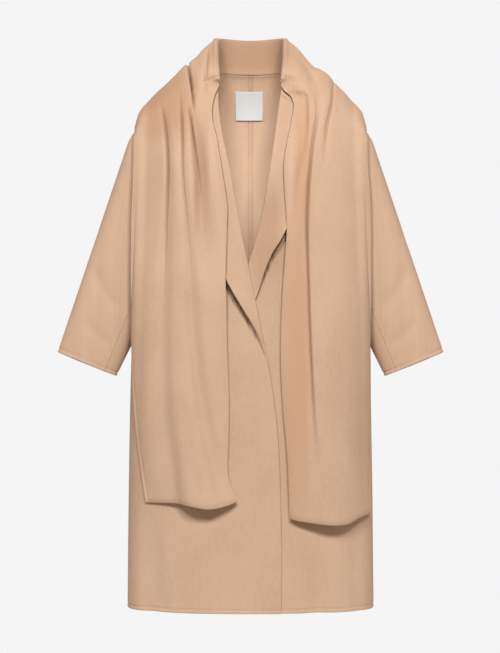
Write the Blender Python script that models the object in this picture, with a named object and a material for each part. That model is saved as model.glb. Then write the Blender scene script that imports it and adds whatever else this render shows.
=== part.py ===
"""Open-fronted wool coat with batwing sleeves and a wide scarf sewn on as its collar.

Metres, +Z up. The front faces -Y and +X is the wearer's left.
The origin lies midway between the two neck points of the shoulders.
Side -1 is the wearer's right and side +1 the wearer's left; a "reach" is a distance from the middle plane.
"""
import math
from collections import namedtuple

import bmesh
import bpy
import numpy as np

COLLECTION_NAME = "scarf_collar_coat"
RIGHT, LEFT = -1, 1
UPWARD = np.array([0.0, 0.0, 1.0])

# Cloth and seams
CLOTH = 0.0024
LABEL_CLOTH = 0.0010
SEAM_GAP = 0.0003

# Neck and shoulders
NECK_REACH = 0.068
NECK_POINT_HEIGHT = 0.025
NECK_LEVEL_POWER = 8
NECK_BACK_DEPTH = 0.070
NECK_BACK_HEIGHT = 0.043
NECK_BLEND = 0.060
NECK_SOFT_REACH = 0.085
SHOULDER_REACH = 0.234
SHOULDER_HEIGHT = -0.066
SHOULDER_BEND = 1.15
Rounding = namedtuple("Rounding", "neck shoulder")
FRONT_ROUNDING = Rounding(neck=0.250, shoulder=0.110)
BACK_ROUNDING = Rounding(neck=0.200, shoulder=0.110)
ROUNDING_POWER = 0.65

# Body below the shoulders
HEM_HEIGHT = -1.079
UNDERARM_HEIGHT = -0.530
ARMHOLE_DEPTH = 0.050
ARMHOLE_SQUARENESS = 2.2
ARM_REACH_POWER = 12
ARM_SOFT_RISE = 0.300
BODY_SQUARENESS = 2.5
DRAPE_POWER = 1.2
DRAPE_START = -0.640
DRAPE_FULL = -0.160
FRONT_LAP = 0.0070
LAP_FULL_REACH = 0.075
LAP_END_REACH = 0.170
LAP_TOP_FADE = 0.100
LAPEL_SPACE = 0.0008
LAPEL_CURL = 1.5

# Sleeves
CUFF_OUTER_REACH, CUFF_OUTER_HEIGHT = 0.404, -0.546
CUFF_INNER_REACH, CUFF_INNER_HEIGHT = 0.281, -0.596
CUFF_HALF_DEPTH = 0.027
CUFF_FORWARD = 0.010
CUFF_SQUARENESS = 2.3
SLEEVE_FULLNESS = 0.0095
FULLNESS_START = 0.090

# Scarf
FOLD_REACH = 0.0735
FOLD_BACK_DEPTH = 0.083
FOLD_HEIGHT = 0.117
FOLD_RADIUS = 0.0055
FALL_EDGE_REACH = 0.244
FALL_EDGE_SHOULDER_HEIGHT = -0.072
FALL_EDGE_BACK_DROP = 0.042
FALL_CLEARANCE = 0.014
SCARF_ROUNDING = Rounding(neck=0.330, shoulder=0.110)
SCARF_ROUNDING_POWER = 1.0
SCARF_ARM_TOP = -0.020
SCARF_TOP_ROUNDING = 0.050
SIDE_PUSH = 0.016
SIDE_PUSH_START = 0.90
SCARF_SEATED_SHARE = 0.120
PLEAT_FADE = 0.080
TOP_LINE_FADE = 4
EDGE_TURN_RATE = 4
NECK_SEAM_SPACE = 0.0006

# Label inside the back neck
LABEL_WIDTH = 0.057
LABEL_HEIGHT = 0.061
LABEL_TOP = 0.009
LABEL_CENTRE = -0.003
LABEL_SPACE = 0.0010

# Grid steps
ARMHOLE_STEPS = 14
UNDER_SLEEVE_STEPS = 4
SKIRT_STEPS = 7
FRONT_STEPS = 11
NECK_TURN_STEPS = 9
BACK_SHOULDER_STEPS = 8
SLEEVE_STEPS = 9
LAPEL_STEPS = (5, 16)
SCARF_END_STEPS = (18, 26)
FALL_STEPS = (4, 5, 8)
LABEL_STEPS = (6, 4)
SECTION_SAMPLES = 241
SCARF_ROW_POWER = 1.35
SLOPE_STEP = 0.0005

BodySection = namedtuple("BodySection", "height half_width front_depth back_depth")
BODY_SECTIONS = (
    BodySection(height=-1.079, half_width=0.258, front_depth=0.120, back_depth=0.114),
    BodySection(height=-0.800, half_width=0.255, front_depth=0.117, back_depth=0.110),
    BodySection(height=-0.530, half_width=0.249, front_depth=0.119, back_depth=0.108),
    BodySection(height=-0.400, half_width=0.243, front_depth=0.122, back_depth=0.112),
    BodySection(height=-0.200, half_width=0.236, front_depth=0.121, back_depth=0.114),
    BodySection(height=-0.066, half_width=0.234, front_depth=0.112, back_depth=0.104),
)

# Soft hanging folds in the skirt, deepest at the hem
HemFold = namedtuple("HemFold", "face side reach width depth top_height")
HEM_FOLDS = (
    HemFold(face="front", side=LEFT, reach=0.136, width=0.022, depth=0.010, top_height=-0.820),
    HemFold(face="front", side=RIGHT, reach=0.205, width=0.020, depth=0.009, top_height=-0.780),
    HemFold(face="back", side=LEFT, reach=0.120, width=0.030, depth=0.012, top_height=-0.620),
    HemFold(face="back", side=RIGHT, reach=0.150, width=0.028, depth=0.011, top_height=-0.680),
)

# Folded edge and free edge of each front
FrontEdge = namedtuple("FrontEdge", "height reach")
FRONT_EDGES = {
    RIGHT: (
        FrontEdge(height=-1.079, reach=-0.063),
        FrontEdge(height=-0.930, reach=-0.063),
        FrontEdge(height=-0.685, reach=-0.053),
        FrontEdge(height=-0.594, reach=-0.041),
        FrontEdge(height=-0.490, reach=-0.020),
        FrontEdge(height=-0.371, reach=0.004),
        FrontEdge(height=-0.300, reach=0.019),
        FrontEdge(height=-0.230, reach=0.032),
        FrontEdge(height=-0.157, reach=0.045),
        FrontEdge(height=-0.100, reach=0.057),
        FrontEdge(height=-0.056, reach=0.064),
        FrontEdge(height=NECK_POINT_HEIGHT, reach=NECK_REACH),
    ),
    LEFT: (
        FrontEdge(height=-1.079, reach=-0.063),
        FrontEdge(height=-0.930, reach=-0.063),
        FrontEdge(height=-0.685, reach=-0.053),
        FrontEdge(height=-0.594, reach=-0.043),
        FrontEdge(height=-0.490, reach=-0.028),
        FrontEdge(height=-0.371, reach=-0.006),
        FrontEdge(height=-0.318, reach=0.009),
        FrontEdge(height=-0.251, reach=0.025),
        FrontEdge(height=-0.156, reach=0.041),
        FrontEdge(height=-0.060, reach=0.055),
        FrontEdge(height=-0.008, reach=0.062),
        FrontEdge(height=NECK_POINT_HEIGHT, reach=NECK_REACH),
    ),
}

# Turned-back lapels: width from the folded edge, and how far the free edge stands off
LapelSection = namedtuple("LapelSection", "height width lift")
LAPELS = {
    RIGHT: (
        LapelSection(height=-0.560, width=0.005, lift=0.002),
        LapelSection(height=-0.530, width=0.007, lift=0.004),
        LapelSection(height=-0.455, width=0.029, lift=0.009),
        LapelSection(height=-0.402, width=0.049, lift=0.009),
        LapelSection(height=-0.350, width=0.060, lift=0.006),
        LapelSection(height=-0.300, width=0.066, lift=0.004),
        LapelSection(height=-0.150, width=0.068, lift=0.003),
        LapelSection(height=-0.015, width=0.040, lift=0.001),
    ),
    LEFT: (
        LapelSection(height=-0.500, width=0.012, lift=0.000),
        LapelSection(height=-0.438, width=0.032, lift=0.000),
        LapelSection(height=-0.349, width=0.043, lift=0.007),
        LapelSection(height=-0.280, width=0.058, lift=0.009),
        LapelSection(height=-0.230, width=0.066, lift=0.005),
        LapelSection(height=-0.150, width=0.064, lift=0.003),
        LapelSection(height=-0.015, width=0.040, lift=0.001),
    ),
}

# Scarf ends: reach of both edges, and how far the cloth stands off the coat at edges and middle
ScarfSection = namedtuple("ScarfSection", "height inner_reach outer_reach inner_off middle_off outer_off")
SCARF_SECTIONS = {
    RIGHT: (
        ScarfSection(-0.865, 0.022, 0.216, 0.030, 0.054, 0.009),
        ScarfSection(-0.800, 0.042, 0.226, 0.030, 0.050, 0.010),
        ScarfSection(-0.710, 0.043, 0.238, 0.026, 0.040, 0.010),
        ScarfSection(-0.565, 0.045, 0.247, 0.022, 0.032, 0.012),
        ScarfSection(-0.400, 0.049, 0.248, 0.025, 0.032, 0.010),
        ScarfSection(-0.235, 0.050, 0.246, 0.024, 0.034, 0.011),
        ScarfSection(-0.105, 0.066, 0.244, 0.022, 0.034, 0.012),
        ScarfSection(-0.010, 0.075, 0.244, 0.020, 0.028, 0.012),
        ScarfSection(0.035, 0.067, 0.244, 0.016, 0.024, 0.010),
        ScarfSection(0.117, 0.066, 0.244, 0.005, 0.008, 0.005),
    ),
    LEFT: (
        ScarfSection(-0.895, 0.079, 0.249, 0.030, 0.062, 0.012),
        ScarfSection(-0.720, 0.069, 0.250, 0.024, 0.050, 0.014),
        ScarfSection(-0.580, 0.061, 0.250, 0.020, 0.045, 0.015),
        ScarfSection(-0.440, 0.063, 0.250, 0.020, 0.044, 0.014),
        ScarfSection(-0.290, 0.070, 0.249, 0.024, 0.043, 0.012),
        ScarfSection(-0.210, 0.066, 0.247, 0.024, 0.042, 0.012),
        ScarfSection(-0.080, 0.077, 0.244, 0.022, 0.036, 0.012),
        ScarfSection(-0.035, 0.078, 0.244, 0.020, 0.032, 0.012),
        ScarfSection(0.000, 0.064, 0.244, 0.018, 0.028, 0.012),
        ScarfSection(0.035, 0.062, 0.244, 0.016, 0.024, 0.010),
        ScarfSection(0.117, 0.066, 0.244, 0.005, 0.008, 0.005),
    ),
}

# Height of the scarf's cut end at its inner edge, middle and outer edge
ScarfHem = namedtuple("ScarfHem", "inner middle outer")
SCARF_HEMS = {
    RIGHT: ScarfHem(inner=-0.850, middle=-0.862, outer=-0.858),
    LEFT: ScarfHem(inner=-0.886, middle=-0.897, outer=-0.883),
}

# Uneven line of the scarf over each shoulder, above a straight slope
TopLine = namedtuple("TopLine", "across rise")
SCARF_TOP_LINES = {
    RIGHT: (
        TopLine(across=0.00, rise=0.000),
        TopLine(across=0.12, rise=0.005),
        TopLine(across=0.23, rise=0.005),
        TopLine(across=0.29, rise=0.010),
        TopLine(across=0.36, rise=0.0135),
        TopLine(across=0.51, rise=0.0150),
        TopLine(across=0.62, rise=0.0175),
        TopLine(across=0.73, rise=0.0210),
        TopLine(across=0.83, rise=0.0215),
        TopLine(across=0.91, rise=0.0215),
        TopLine(across=0.96, rise=0.0165),
        TopLine(across=1.00, rise=0.000),
    ),
    LEFT: (
        TopLine(across=0.00, rise=0.000),
        TopLine(across=0.12, rise=0.006),
        TopLine(across=0.25, rise=0.004),
        TopLine(across=0.32, rise=0.004),
        TopLine(across=0.41, rise=0.0138),
        TopLine(across=0.53, rise=0.0214),
        TopLine(across=0.60, rise=0.0195),
        TopLine(across=0.73, rise=0.0213),
        TopLine(across=0.81, rise=0.0205),
        TopLine(across=0.90, rise=0.0215),
        TopLine(across=0.96, rise=0.0175),
        TopLine(across=1.00, rise=0.000),
    ),
}

# Soft ripples round the scarf's fall over the back: turn from centre back toward the wearer's left
Ripple = namedtuple("Ripple", "turn width height")
FALL_RIPPLES = (
    Ripple(turn=-0.95, width=0.22, height=0.010),
    Ripple(turn=-0.25, width=0.25, height=0.007),
    Ripple(turn=0.45, width=0.22, height=0.009),
    Ripple(turn=1.05, width=0.20, height=0.008),
)

# Lengthwise pleats of the scarf ends: "across" runs from 0 at the inner edge to 1 at the outer edge
Pleat = namedtuple("Pleat", "top end across_top across_middle across_end depth_top depth_end inner_width outer_width")
PLEATS = {
    RIGHT: (
        Pleat(0.010, -0.880, 0.655, 0.605, 0.620, 0.010, 0.015, 0.045, 0.055),
        Pleat(-0.010, -0.870, 0.420, 0.370, 0.100, 0.006, 0.012, 0.080, 0.090),
        Pleat(0.000, -0.450, 0.310, 0.225, 0.120, 0.015, 0.004, 0.070, 0.080),
    ),
    LEFT: (
        Pleat(0.030, -0.920, 0.390, 0.285, 0.300, 0.016, 0.022, 0.035, 0.200),
        Pleat(0.030, -0.330, 0.180, 0.185, 0.100, 0.010, 0.006, 0.060, 0.060),
        Pleat(0.020, -0.180, 0.620, 0.500, 0.460, 0.006, 0.004, 0.040, 0.060),
    ),
}

MATERIALS = {
    "camel_wool": ((0.56, 0.36, 0.24, 1.0), 0.95),
    "label_tape": ((0.86, 0.85, 0.83, 1.0), 0.70),
}


def read(table, column, key):
    """Smooth value of one column of a table at a key that its first column holds."""
    keys = np.array([row[0] for row in table])
    values = np.array([getattr(row, column) for row in table])
    order = np.argsort(keys)
    keys, values = keys[order], values[order]
    slopes = np.gradient(values, keys)
    key = np.clip(key, keys[0], keys[-1])
    below = np.clip(np.searchsorted(keys, key) - 1, 0, len(keys) - 2)
    span = keys[below + 1] - keys[below]
    t = (key - keys[below]) / span
    start = values[below] * (1 + 2 * t) * (1 - t) ** 2 + slopes[below] * span * t * (1 - t) ** 2
    finish = values[below + 1] * t * t * (3 - 2 * t) + slopes[below + 1] * span * t * t * (t - 1)
    return start + finish


def ease(t):
    """Smooth step from 0 to 1."""
    t = np.clip(t, 0.0, 1.0)
    return t * t * (3 - 2 * t)


def round_over(t, power=ROUNDING_POWER):
    """Rounded rise from 0 at an edge to 1 where the cloth lies flat."""
    return np.sin(np.clip(t, 0.0, 1.0) * math.pi / 2) ** power


def arch(t, squareness):
    """Height of a squared-off half ellipse over -1 to 1."""
    return np.maximum(1 - np.abs(np.clip(t, -1.0, 1.0)) ** squareness, 0.0) ** (1 / squareness)


def through(first, middle, last, t):
    """Parabola through three values at t = 0, 0.5 and 1."""
    return first * (1 - t) * (1 - 2 * t) + middle * 4 * t * (1 - t) + last * t * (2 * t - 1)


def armhole_depth(height, top=SHOULDER_HEIGHT):
    """Half depth of the open armhole at a height."""
    middle = (top + UNDERARM_HEIGHT) / 2
    half = (top - UNDERARM_HEIGHT) / 2
    return ARMHOLE_DEPTH * arch((height - middle) / half, ARMHOLE_SQUARENESS)


def shoulder_height(reach):
    """Height of the shoulder seam, level inside the neck point."""
    along = np.clip((np.abs(reach) - NECK_REACH) / (SHOULDER_REACH - NECK_REACH), 0.0, 1.0)
    return NECK_POINT_HEIGHT + (SHOULDER_HEIGHT - NECK_POINT_HEIGHT) * along ** SHOULDER_BEND


def neck_rise(reach):
    """1 at the centre back of the neck, 0 from the neck point outward."""
    return np.maximum(1 - (np.abs(reach) / NECK_REACH) ** 2, 0.0)


def neck_height(reach):
    """Height of the neck seam, nearly level across the back."""
    drop = np.minimum(np.abs(reach) / NECK_REACH, 1.0) ** NECK_LEVEL_POWER
    return NECK_BACK_HEIGHT + (NECK_POINT_HEIGHT - NECK_BACK_HEIGHT) * drop


def top_height(face, reach):
    """Height of a face's upper edge."""
    if face == "front":
        return shoulder_height(reach)
    return np.where(np.abs(reach) < NECK_REACH, neck_height(reach), shoulder_height(reach))


def body_depth(face, side, reach, height, top=None, rounding=None, power=ROUNDING_POWER):
    """Distance of the coat's outer face, or of cloth hung from a higher top, from the shoulder plane."""
    full = read(BODY_SECTIONS, face + "_depth", height)
    outward = np.clip(np.abs(reach) / read(BODY_SECTIONS, "half_width", height), 0.0, 1.0)
    draped = np.cos(outward * math.pi / 2) ** DRAPE_POWER
    weight = ease((height - DRAPE_START) / (DRAPE_FULL - DRAPE_START))
    share = arch(outward, BODY_SQUARENESS) * (1 - weight) + draped * weight
    along = np.clip((np.abs(reach) - NECK_REACH) / (SHOULDER_REACH - NECK_REACH), 0.0, 1.0)
    hung = top is not None
    if not hung:
        rounding = FRONT_ROUNDING if face == "front" else BACK_ROUNDING
        top = top_height(face, reach)
    if face == "back":
        lowered = ease((top - height) / NECK_BLEND)
        softened = np.exp(-(reach / NECK_SOFT_REACH) ** 2)
        top_depth = NECK_BACK_DEPTH * (np.sqrt(neck_rise(reach)) * (1 - lowered) + softened * lowered)
    else:
        top_depth = 0.0
    rise = round_over((top - height) / (rounding.neck + (rounding.shoulder - rounding.neck) * along), power)
    core = top_depth + (full - top_depth) * rise
    if hung:
        arm = armhole_depth(height, SCARF_ARM_TOP)
    else:
        beside_arm = outward ** ARM_REACH_POWER
        arm = armhole_depth(height) * (beside_arm + (1 - beside_arm) * ease((height - UNDERARM_HEIGHT) / ARM_SOFT_RISE))
    depth = arm * (1 - share) + core * share
    for fold in HEM_FOLDS:
        if fold.face == face and fold.side == side:
            fade = ease((fold.top_height - height) / (fold.top_height - HEM_HEIGHT))
            depth = depth - fold.depth * fade * np.exp(-((reach - fold.reach) / fold.width) ** 2)
    return depth


def body_slopes(face, side, reach, height):
    """Change of depth outward and upward, and the length of the unscaled normal."""
    step = SLOPE_STEP
    outward = body_depth(face, side, reach + step, height) - body_depth(face, side, reach - step, height)
    upward = body_depth(face, side, reach, height + step) - body_depth(face, side, reach, height - step)
    slope_x, slope_z = outward / (2 * step), upward / (2 * step)
    return slope_x, slope_z, np.sqrt(1 + slope_x ** 2 + slope_z ** 2)


def body_point(face, side, reach, height, off=0.0):
    """Point on the coat's outer face, moved out along its normal."""
    depth = body_depth(face, side, reach, height)
    slope_x, slope_z, length = body_slopes(face, side, reach, height)
    forward = -1.0 if face == "front" else 1.0
    x = side * (reach - off * slope_x / length)
    y = forward * (depth + off / length)
    z = height - off * slope_z / length
    return np.stack(np.broadcast_arrays(x, y, z), axis=-1)


def front_lap(side, reach):
    """Extra height of the right front where it laps over the left one."""
    if side == LEFT:
        return 0.0 * reach
    return FRONT_LAP * (1 - ease((reach - LAP_FULL_REACH) / (LAP_END_REACH - LAP_FULL_REACH)))


def body_rows():
    """Shares of the way from shoulder to hem, close together at both ends of the armhole."""
    underarm = (SHOULDER_HEIGHT - UNDERARM_HEIGHT) / (SHOULDER_HEIGHT - HEM_HEIGHT)
    armhole = underarm * (1 - np.cos(np.linspace(0, math.pi, ARMHOLE_STEPS + 1))) / 2
    skirt = np.linspace(underarm, 1.0, SKIRT_STEPS + 1)[1:]
    return np.concatenate([armhole, skirt])


def spread(first, last, shares):
    """Shares of the half width, close together toward the side seam."""
    power = BODY_SQUARENESS / 2
    start = np.arcsin(np.sign(first) * np.abs(first) ** power)
    finish = np.arcsin(np.sign(last) * np.abs(last) ** power)
    sine = np.sin(start + (finish - start) * shares)
    return np.sign(sine) * np.abs(sine) ** (1 / power)


def front_grid(side):
    """Outer face of a front, from its folded edge to the side seam."""
    rows = body_rows()[:, None]
    columns = np.linspace(0, 1, FRONT_STEPS + 1)[None, :]
    half_width = read(BODY_SECTIONS, "half_width", SHOULDER_HEIGHT + (HEM_HEIGHT - SHOULDER_HEIGHT) * rows)
    edge = read(FRONT_EDGES[side], "reach", NECK_POINT_HEIGHT + (HEM_HEIGHT - NECK_POINT_HEIGHT) * rows)
    reach = half_width * spread(edge / half_width, 1.0, columns)
    top = shoulder_height(reach)
    height = top + (HEM_HEIGHT - top) * rows
    lap = front_lap(side, reach) * ease(rows / LAP_TOP_FADE)
    points = body_point("front", side, reach, height)
    points[..., 1] -= lap
    return points


def back_grid(side):
    """Outer face of a back, from the centre seam to the side seam."""
    rows = body_rows()[:, None]
    half_width = read(BODY_SECTIONS, "half_width", SHOULDER_HEIGHT + (HEM_HEIGHT - SHOULDER_HEIGHT) * rows)
    neck = NECK_REACH / SHOULDER_REACH
    inner = neck * np.sin(np.linspace(0, math.pi / 2, NECK_TURN_STEPS + 1))
    outer = spread(neck, 1.0, np.linspace(0, 1, BACK_SHOULDER_STEPS + 1))[1:]
    reach = half_width * np.concatenate([inner, outer])[None, :]
    top = top_height("back", reach)
    height = top + (HEM_HEIGHT - top) * rows
    return body_point("back", side, reach, height)


def lapel_grid(side):
    """Outer face of a lapel, from the folded edge to its free edge."""
    across, down = LAPEL_STEPS
    heights = np.array([row.height for row in LAPELS[side]])
    height = np.linspace(heights.max(), heights.min(), down + 1)[:, None]
    share = np.linspace(0, 1, across + 1)[None, :]
    reach = read(FRONT_EDGES[side], "reach", height) + read(LAPELS[side], "width", height) * share
    lift = read(LAPELS[side], "lift", height) * share ** LAPEL_CURL
    off = front_lap(side, reach) + CLOTH + LAPEL_SPACE + lift
    return body_point("front", side, reach, height + 0 * share, off)


def sleeve_grid(side, angles):
    """Outer face of a sleeve; angle 0 is the top of the arm, a right angle the front, a half turn the underarm."""
    along = np.cos(angles)[None, :]
    front = np.where(np.sin(angles) >= 0, -1.0, 1.0)[None, :]
    middle = (SHOULDER_HEIGHT + UNDERARM_HEIGHT) / 2
    armhole_height = middle + (SHOULDER_HEIGHT - UNDERARM_HEIGHT) / 2 * along
    armhole_reach = read(BODY_SECTIONS, "half_width", armhole_height)
    armhole_y = front * armhole_depth(armhole_height)
    cuff_share = (1 - along) / 2
    cuff_reach = CUFF_OUTER_REACH + (CUFF_INNER_REACH - CUFF_OUTER_REACH) * cuff_share
    cuff_height = CUFF_OUTER_HEIGHT + (CUFF_INNER_HEIGHT - CUFF_OUTER_HEIGHT) * cuff_share
    cuff_y = front * CUFF_HALF_DEPTH * arch(along, CUFF_SQUARENESS) - CUFF_FORWARD
    length = np.hypot(cuff_reach - armhole_reach, cuff_height - armhole_height)
    down = np.linspace(0, 1, SLEEVE_STEPS + 1)[:, None]
    down = down + (1 - down) * SEAM_GAP / length
    fullness = SLEEVE_FULLNESS * ease(down / FULLNESS_START) * (1 - down) * ((1 + along) / 2) ** 2
    x = armhole_reach + (cuff_reach - armhole_reach) * down + fullness
    y = armhole_y + (cuff_y - armhole_y) * down
    z = armhole_height + (cuff_height - armhole_height) * down
    return np.stack(np.broadcast_arrays(side * x, y, z), axis=-1)


def sleeve_angles(first, last):
    """Angles of whole sleeve steps, seams drawn in by half a gap, with one spare step past each seam."""
    step = math.pi / ARMHOLE_STEPS
    angles = np.arange(first - 1, last + 2) * step
    inset = SEAM_GAP / (CUFF_OUTER_REACH - CUFF_INNER_REACH)
    angles[1] += inset
    angles[-2] -= inset
    return angles


def even_columns(curve, count):
    """Points at equal distances along each row of curves."""
    steps = np.linalg.norm(np.diff(curve, axis=1), axis=2)
    travelled = np.concatenate([np.zeros((len(curve), 1)), np.cumsum(steps, axis=1)], axis=1)
    rows = []
    for points, lengths in zip(curve, travelled):
        wanted = np.linspace(0, lengths[-1], count)
        rows.append(np.stack([np.interp(wanted, lengths, points[:, axis]) for axis in range(3)], axis=1))
    return np.array(rows)


def pleat_depth(side, across, height):
    """How far the pleats sink below the scarf's smooth face."""
    depth = 0.0 * across * height
    for pleat in PLEATS[side]:
        share = (pleat.top - height) / (pleat.top - pleat.end)
        place = through(pleat.across_top, pleat.across_middle, pleat.across_end, np.clip(share, 0.0, 1.0))
        width = np.where(across < place, pleat.inner_width, pleat.outer_width)
        fade = ease(share / PLEAT_FADE) * ease((1 - share) / PLEAT_FADE)
        size = pleat.depth_top + (pleat.depth_end - pleat.depth_top) * np.clip(share, 0.0, 1.0)
        depth = depth + size * fade * np.exp(-((across - place) / width) ** 2)
    return depth


def scarf_top(side, reach):
    """Height of the scarf over the shoulder: over its fold at the neck and down to its outer edge."""
    fall_start = FOLD_REACH + FOLD_RADIUS
    fall_height = FOLD_HEIGHT - FOLD_RADIUS
    share = np.clip((reach - fall_start) / (FALL_EDGE_REACH - fall_start), 0.0, 1.0)
    crown = FOLD_RADIUS * arch((reach - FOLD_REACH) / FOLD_RADIUS, 2)
    sloped = fall_height + (FALL_EDGE_SHOULDER_HEIGHT - fall_height) * share
    return sloped + crown + read(SCARF_TOP_LINES[side], "rise", share)


def scarf_end_grid(side):
    """Outer face of a scarf end, from the shoulder down to its cut end."""
    columns, down = SCARF_END_STEPS
    across = np.linspace(0, 1, SECTION_SAMPLES)[None, :]
    rows = np.linspace(0, 1, down + 1)[:, None] ** SCARF_ROW_POWER
    hem = SCARF_HEMS[side]
    fold_reach = FOLD_REACH - FOLD_RADIUS - CLOTH
    seated = fold_reach + (FALL_EDGE_REACH - fold_reach) * across
    top = scarf_top(side, seated)
    height = top + (through(hem.inner, hem.middle, hem.outer, across) - top) * rows
    table = SCARF_SECTIONS[side]
    inner = read(table, "inner_reach", height)
    hanging = inner + (read(table, "outer_reach", height) - inner) * across
    reach = seated + (hanging - seated) * ease(rows / SCARF_SEATED_SHARE)
    off = through(*(read(table, name, height) for name in ("inner_off", "middle_off", "outer_off")), across)
    off = np.maximum(off - pleat_depth(side, across, height), FALL_CLEARANCE / 2)
    outward = reach / read(BODY_SECTIONS, "half_width", height)
    off = off + SIDE_PUSH * ease((outward - SIDE_PUSH_START) / (1 - SIDE_PUSH_START))
    depth = body_depth("front", side, reach, height, top, SCARF_ROUNDING, SCARF_ROUNDING_POWER)
    y = -(depth + off) * round_over(rows / SCARF_TOP_ROUNDING)
    curve = np.stack(np.broadcast_arrays(side * reach, y, height), axis=-1)
    return even_columns(curve, columns + 1)


def scarf_neck_grid():
    """Outer face of the neck stretch: up the stand, over the fold and down the fall."""
    turn = np.linspace(-math.pi / 2, math.pi / 2, 2 * NECK_TURN_STEPS + 1)[:, None]
    sine, cosine = np.sin(turn), np.maximum(np.cos(turn), 0.0)
    seam_height = neck_height(NECK_REACH * sine) + NECK_SEAM_SPACE
    seam = ((NECK_REACH - CLOTH) * sine, (NECK_BACK_DEPTH - CLOTH) * cosine, seam_height)
    fold = (FOLD_REACH * sine, FOLD_BACK_DEPTH * cosine, FOLD_HEIGHT + 0 * turn)
    edge_reach = FALL_EDGE_REACH * np.abs(sine)
    edge_height = FALL_EDGE_SHOULDER_HEIGHT - FALL_EDGE_BACK_DROP * cosine
    edge_coat = body_point("back", LEFT, edge_reach, edge_height, FALL_CLEARANCE)
    edge = (FALL_EDGE_REACH * sine, edge_coat[..., 1] * np.minimum(cosine * EDGE_TURN_RATE, 1.0), edge_height)
    outward = np.concatenate([sine, cosine, 0 * turn], axis=1)
    outward = (outward / np.linalg.norm(outward, axis=1, keepdims=True))[:, None, :]
    seam, fold, edge = (np.concatenate(place, axis=1)[:, None, :] for place in (seam, fold, edge))
    stand_steps, crown_steps, fall_steps = FALL_STEPS
    stand_top = fold - FOLD_RADIUS * (outward + UPWARD)
    stand_share = np.linspace(0, 1, stand_steps + 1)[None, :-1, None]
    stand = seam + (stand_top - seam) * stand_share
    bend = np.linspace(math.pi, 0, crown_steps + 1)[None, :, None]
    crown = fold + FOLD_RADIUS * (np.cos(bend) * outward + (np.sin(bend) - 1) * UPWARD)
    fall_top = fold + FOLD_RADIUS * (outward - UPWARD)
    share = np.linspace(0, 1, fall_steps + 1)[None, 1:, None]
    fall = fall_top + (edge - fall_top) * share
    across = share[..., 0]
    rise = np.where(turn < 0, read(SCARF_TOP_LINES[RIGHT], "rise", across), read(SCARF_TOP_LINES[LEFT], "rise", across))
    fall[..., 2] += rise * np.abs(sine) ** TOP_LINE_FADE
    ripple = sum(item.height * np.exp(-((turn - item.turn) / item.width) ** 2) for item in FALL_RIPPLES)
    fall += (ripple * across * cosine)[..., None] * outward
    return np.concatenate([stand, crown, fall], axis=1)


def label_grid():
    """Face of the label that lies on the inside of the back."""
    across, down = LABEL_STEPS
    x = LABEL_CENTRE + LABEL_WIDTH * (np.linspace(0, 1, across + 1)[None, :] - 0.5)
    z = LABEL_TOP - LABEL_HEIGHT * np.linspace(0, 1, down + 1)[:, None]
    points = body_point("back", LEFT, np.abs(x) + 0 * z, z + 0 * x, -(CLOTH + LABEL_SPACE))
    points[..., 0] *= np.sign(x)
    return points


def face_normals(grid):
    """Unit normals of a grid of points."""
    along_columns = np.gradient(grid, axis=1)
    along_rows = np.gradient(grid, axis=0)
    normals = np.cross(along_columns, along_rows)
    return normals / np.linalg.norm(normals, axis=2, keepdims=True)


def keep_front(points):
    points[..., 1] = np.minimum(points[..., 1], -SEAM_GAP / 2)


def keep_back(points):
    points[..., 1] = np.maximum(points[..., 1], SEAM_GAP / 2)


def keep_inside_armhole(points, side):
    limit = read(BODY_SECTIONS, "half_width", points[..., 2]) - SEAM_GAP / 2
    points[..., 0] = side * np.minimum(side * points[..., 0], limit)


def keep_outside_armhole(points, side):
    limit = read(BODY_SECTIONS, "half_width", points[..., 2]) + SEAM_GAP / 2
    points[..., 0] = side * np.maximum(side * points[..., 0], limit)


def keep_side(points, side):
    points[..., 0] = side * np.maximum(side * points[..., 0], SEAM_GAP / 2)


def keep_below_neck(points):
    inside = np.abs(points[..., 0]) < NECK_REACH
    limit = neck_height(points[..., 0]) - SEAM_GAP / 2
    points[..., 2] = np.where(inside, np.minimum(points[..., 2], limit), points[..., 2])


def keep_above_neck(points):
    seam = points[:, 0]
    seam[:, 2] = np.maximum(seam[:, 2], neck_height(seam[:, 0]) + NECK_SEAM_SPACE)


def wall(name, grid, outside, material, collection, limits=(), thickness=CLOTH, trim=0):
    """Closed cloth wall: the grid is its outer face, the inner face lies one thickness inward."""
    normals = face_normals(grid)
    toward = np.sum(normals * outside(grid), axis=2)
    if np.mean(toward) < 0:
        normals = -normals
    inner = grid - normals * thickness
    outer = grid.copy()
    if trim:
        outer, inner = outer[:, trim:-trim], inner[:, trim:-trim]
    for limit in limits:
        limit(outer)
        limit(inner)
    rows, columns = outer.shape[:2]
    mesh_data = bmesh.new()
    place = mesh_data.verts.layers.int.new("place")
    bmesh.ops.create_grid(mesh_data, x_segments=columns - 1, y_segments=rows - 1, size=0.5)
    for vertex in mesh_data.verts:
        column = round((vertex.co.x + 0.5) * (columns - 1))
        row = round((vertex.co.y + 0.5) * (rows - 1))
        vertex[place] = row * columns + column
    pushed = bmesh.ops.extrude_face_region(mesh_data, geom=mesh_data.faces[:], use_keep_orig=True)
    pushed = {item for item in pushed["geom"] if isinstance(item, bmesh.types.BMVert)}
    for vertex in mesh_data.verts:
        row, column = divmod(vertex[place], columns)
        vertex.co = inner[row, column] if vertex in pushed else outer[row, column]
    bmesh.ops.recalc_face_normals(mesh_data, faces=mesh_data.faces[:])
    if mesh_data.calc_volume(signed=True) < 0:
        bmesh.ops.reverse_faces(mesh_data, faces=mesh_data.faces[:])
    mesh_data.verts.layers.int.remove(place)
    mesh = bpy.data.meshes.new(name)
    mesh_data.to_mesh(mesh)
    mesh_data.free()
    panel = bpy.data.objects.new(name, mesh)
    panel.data.materials.append(material)
    collection.objects.link(panel)
    return panel


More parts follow.
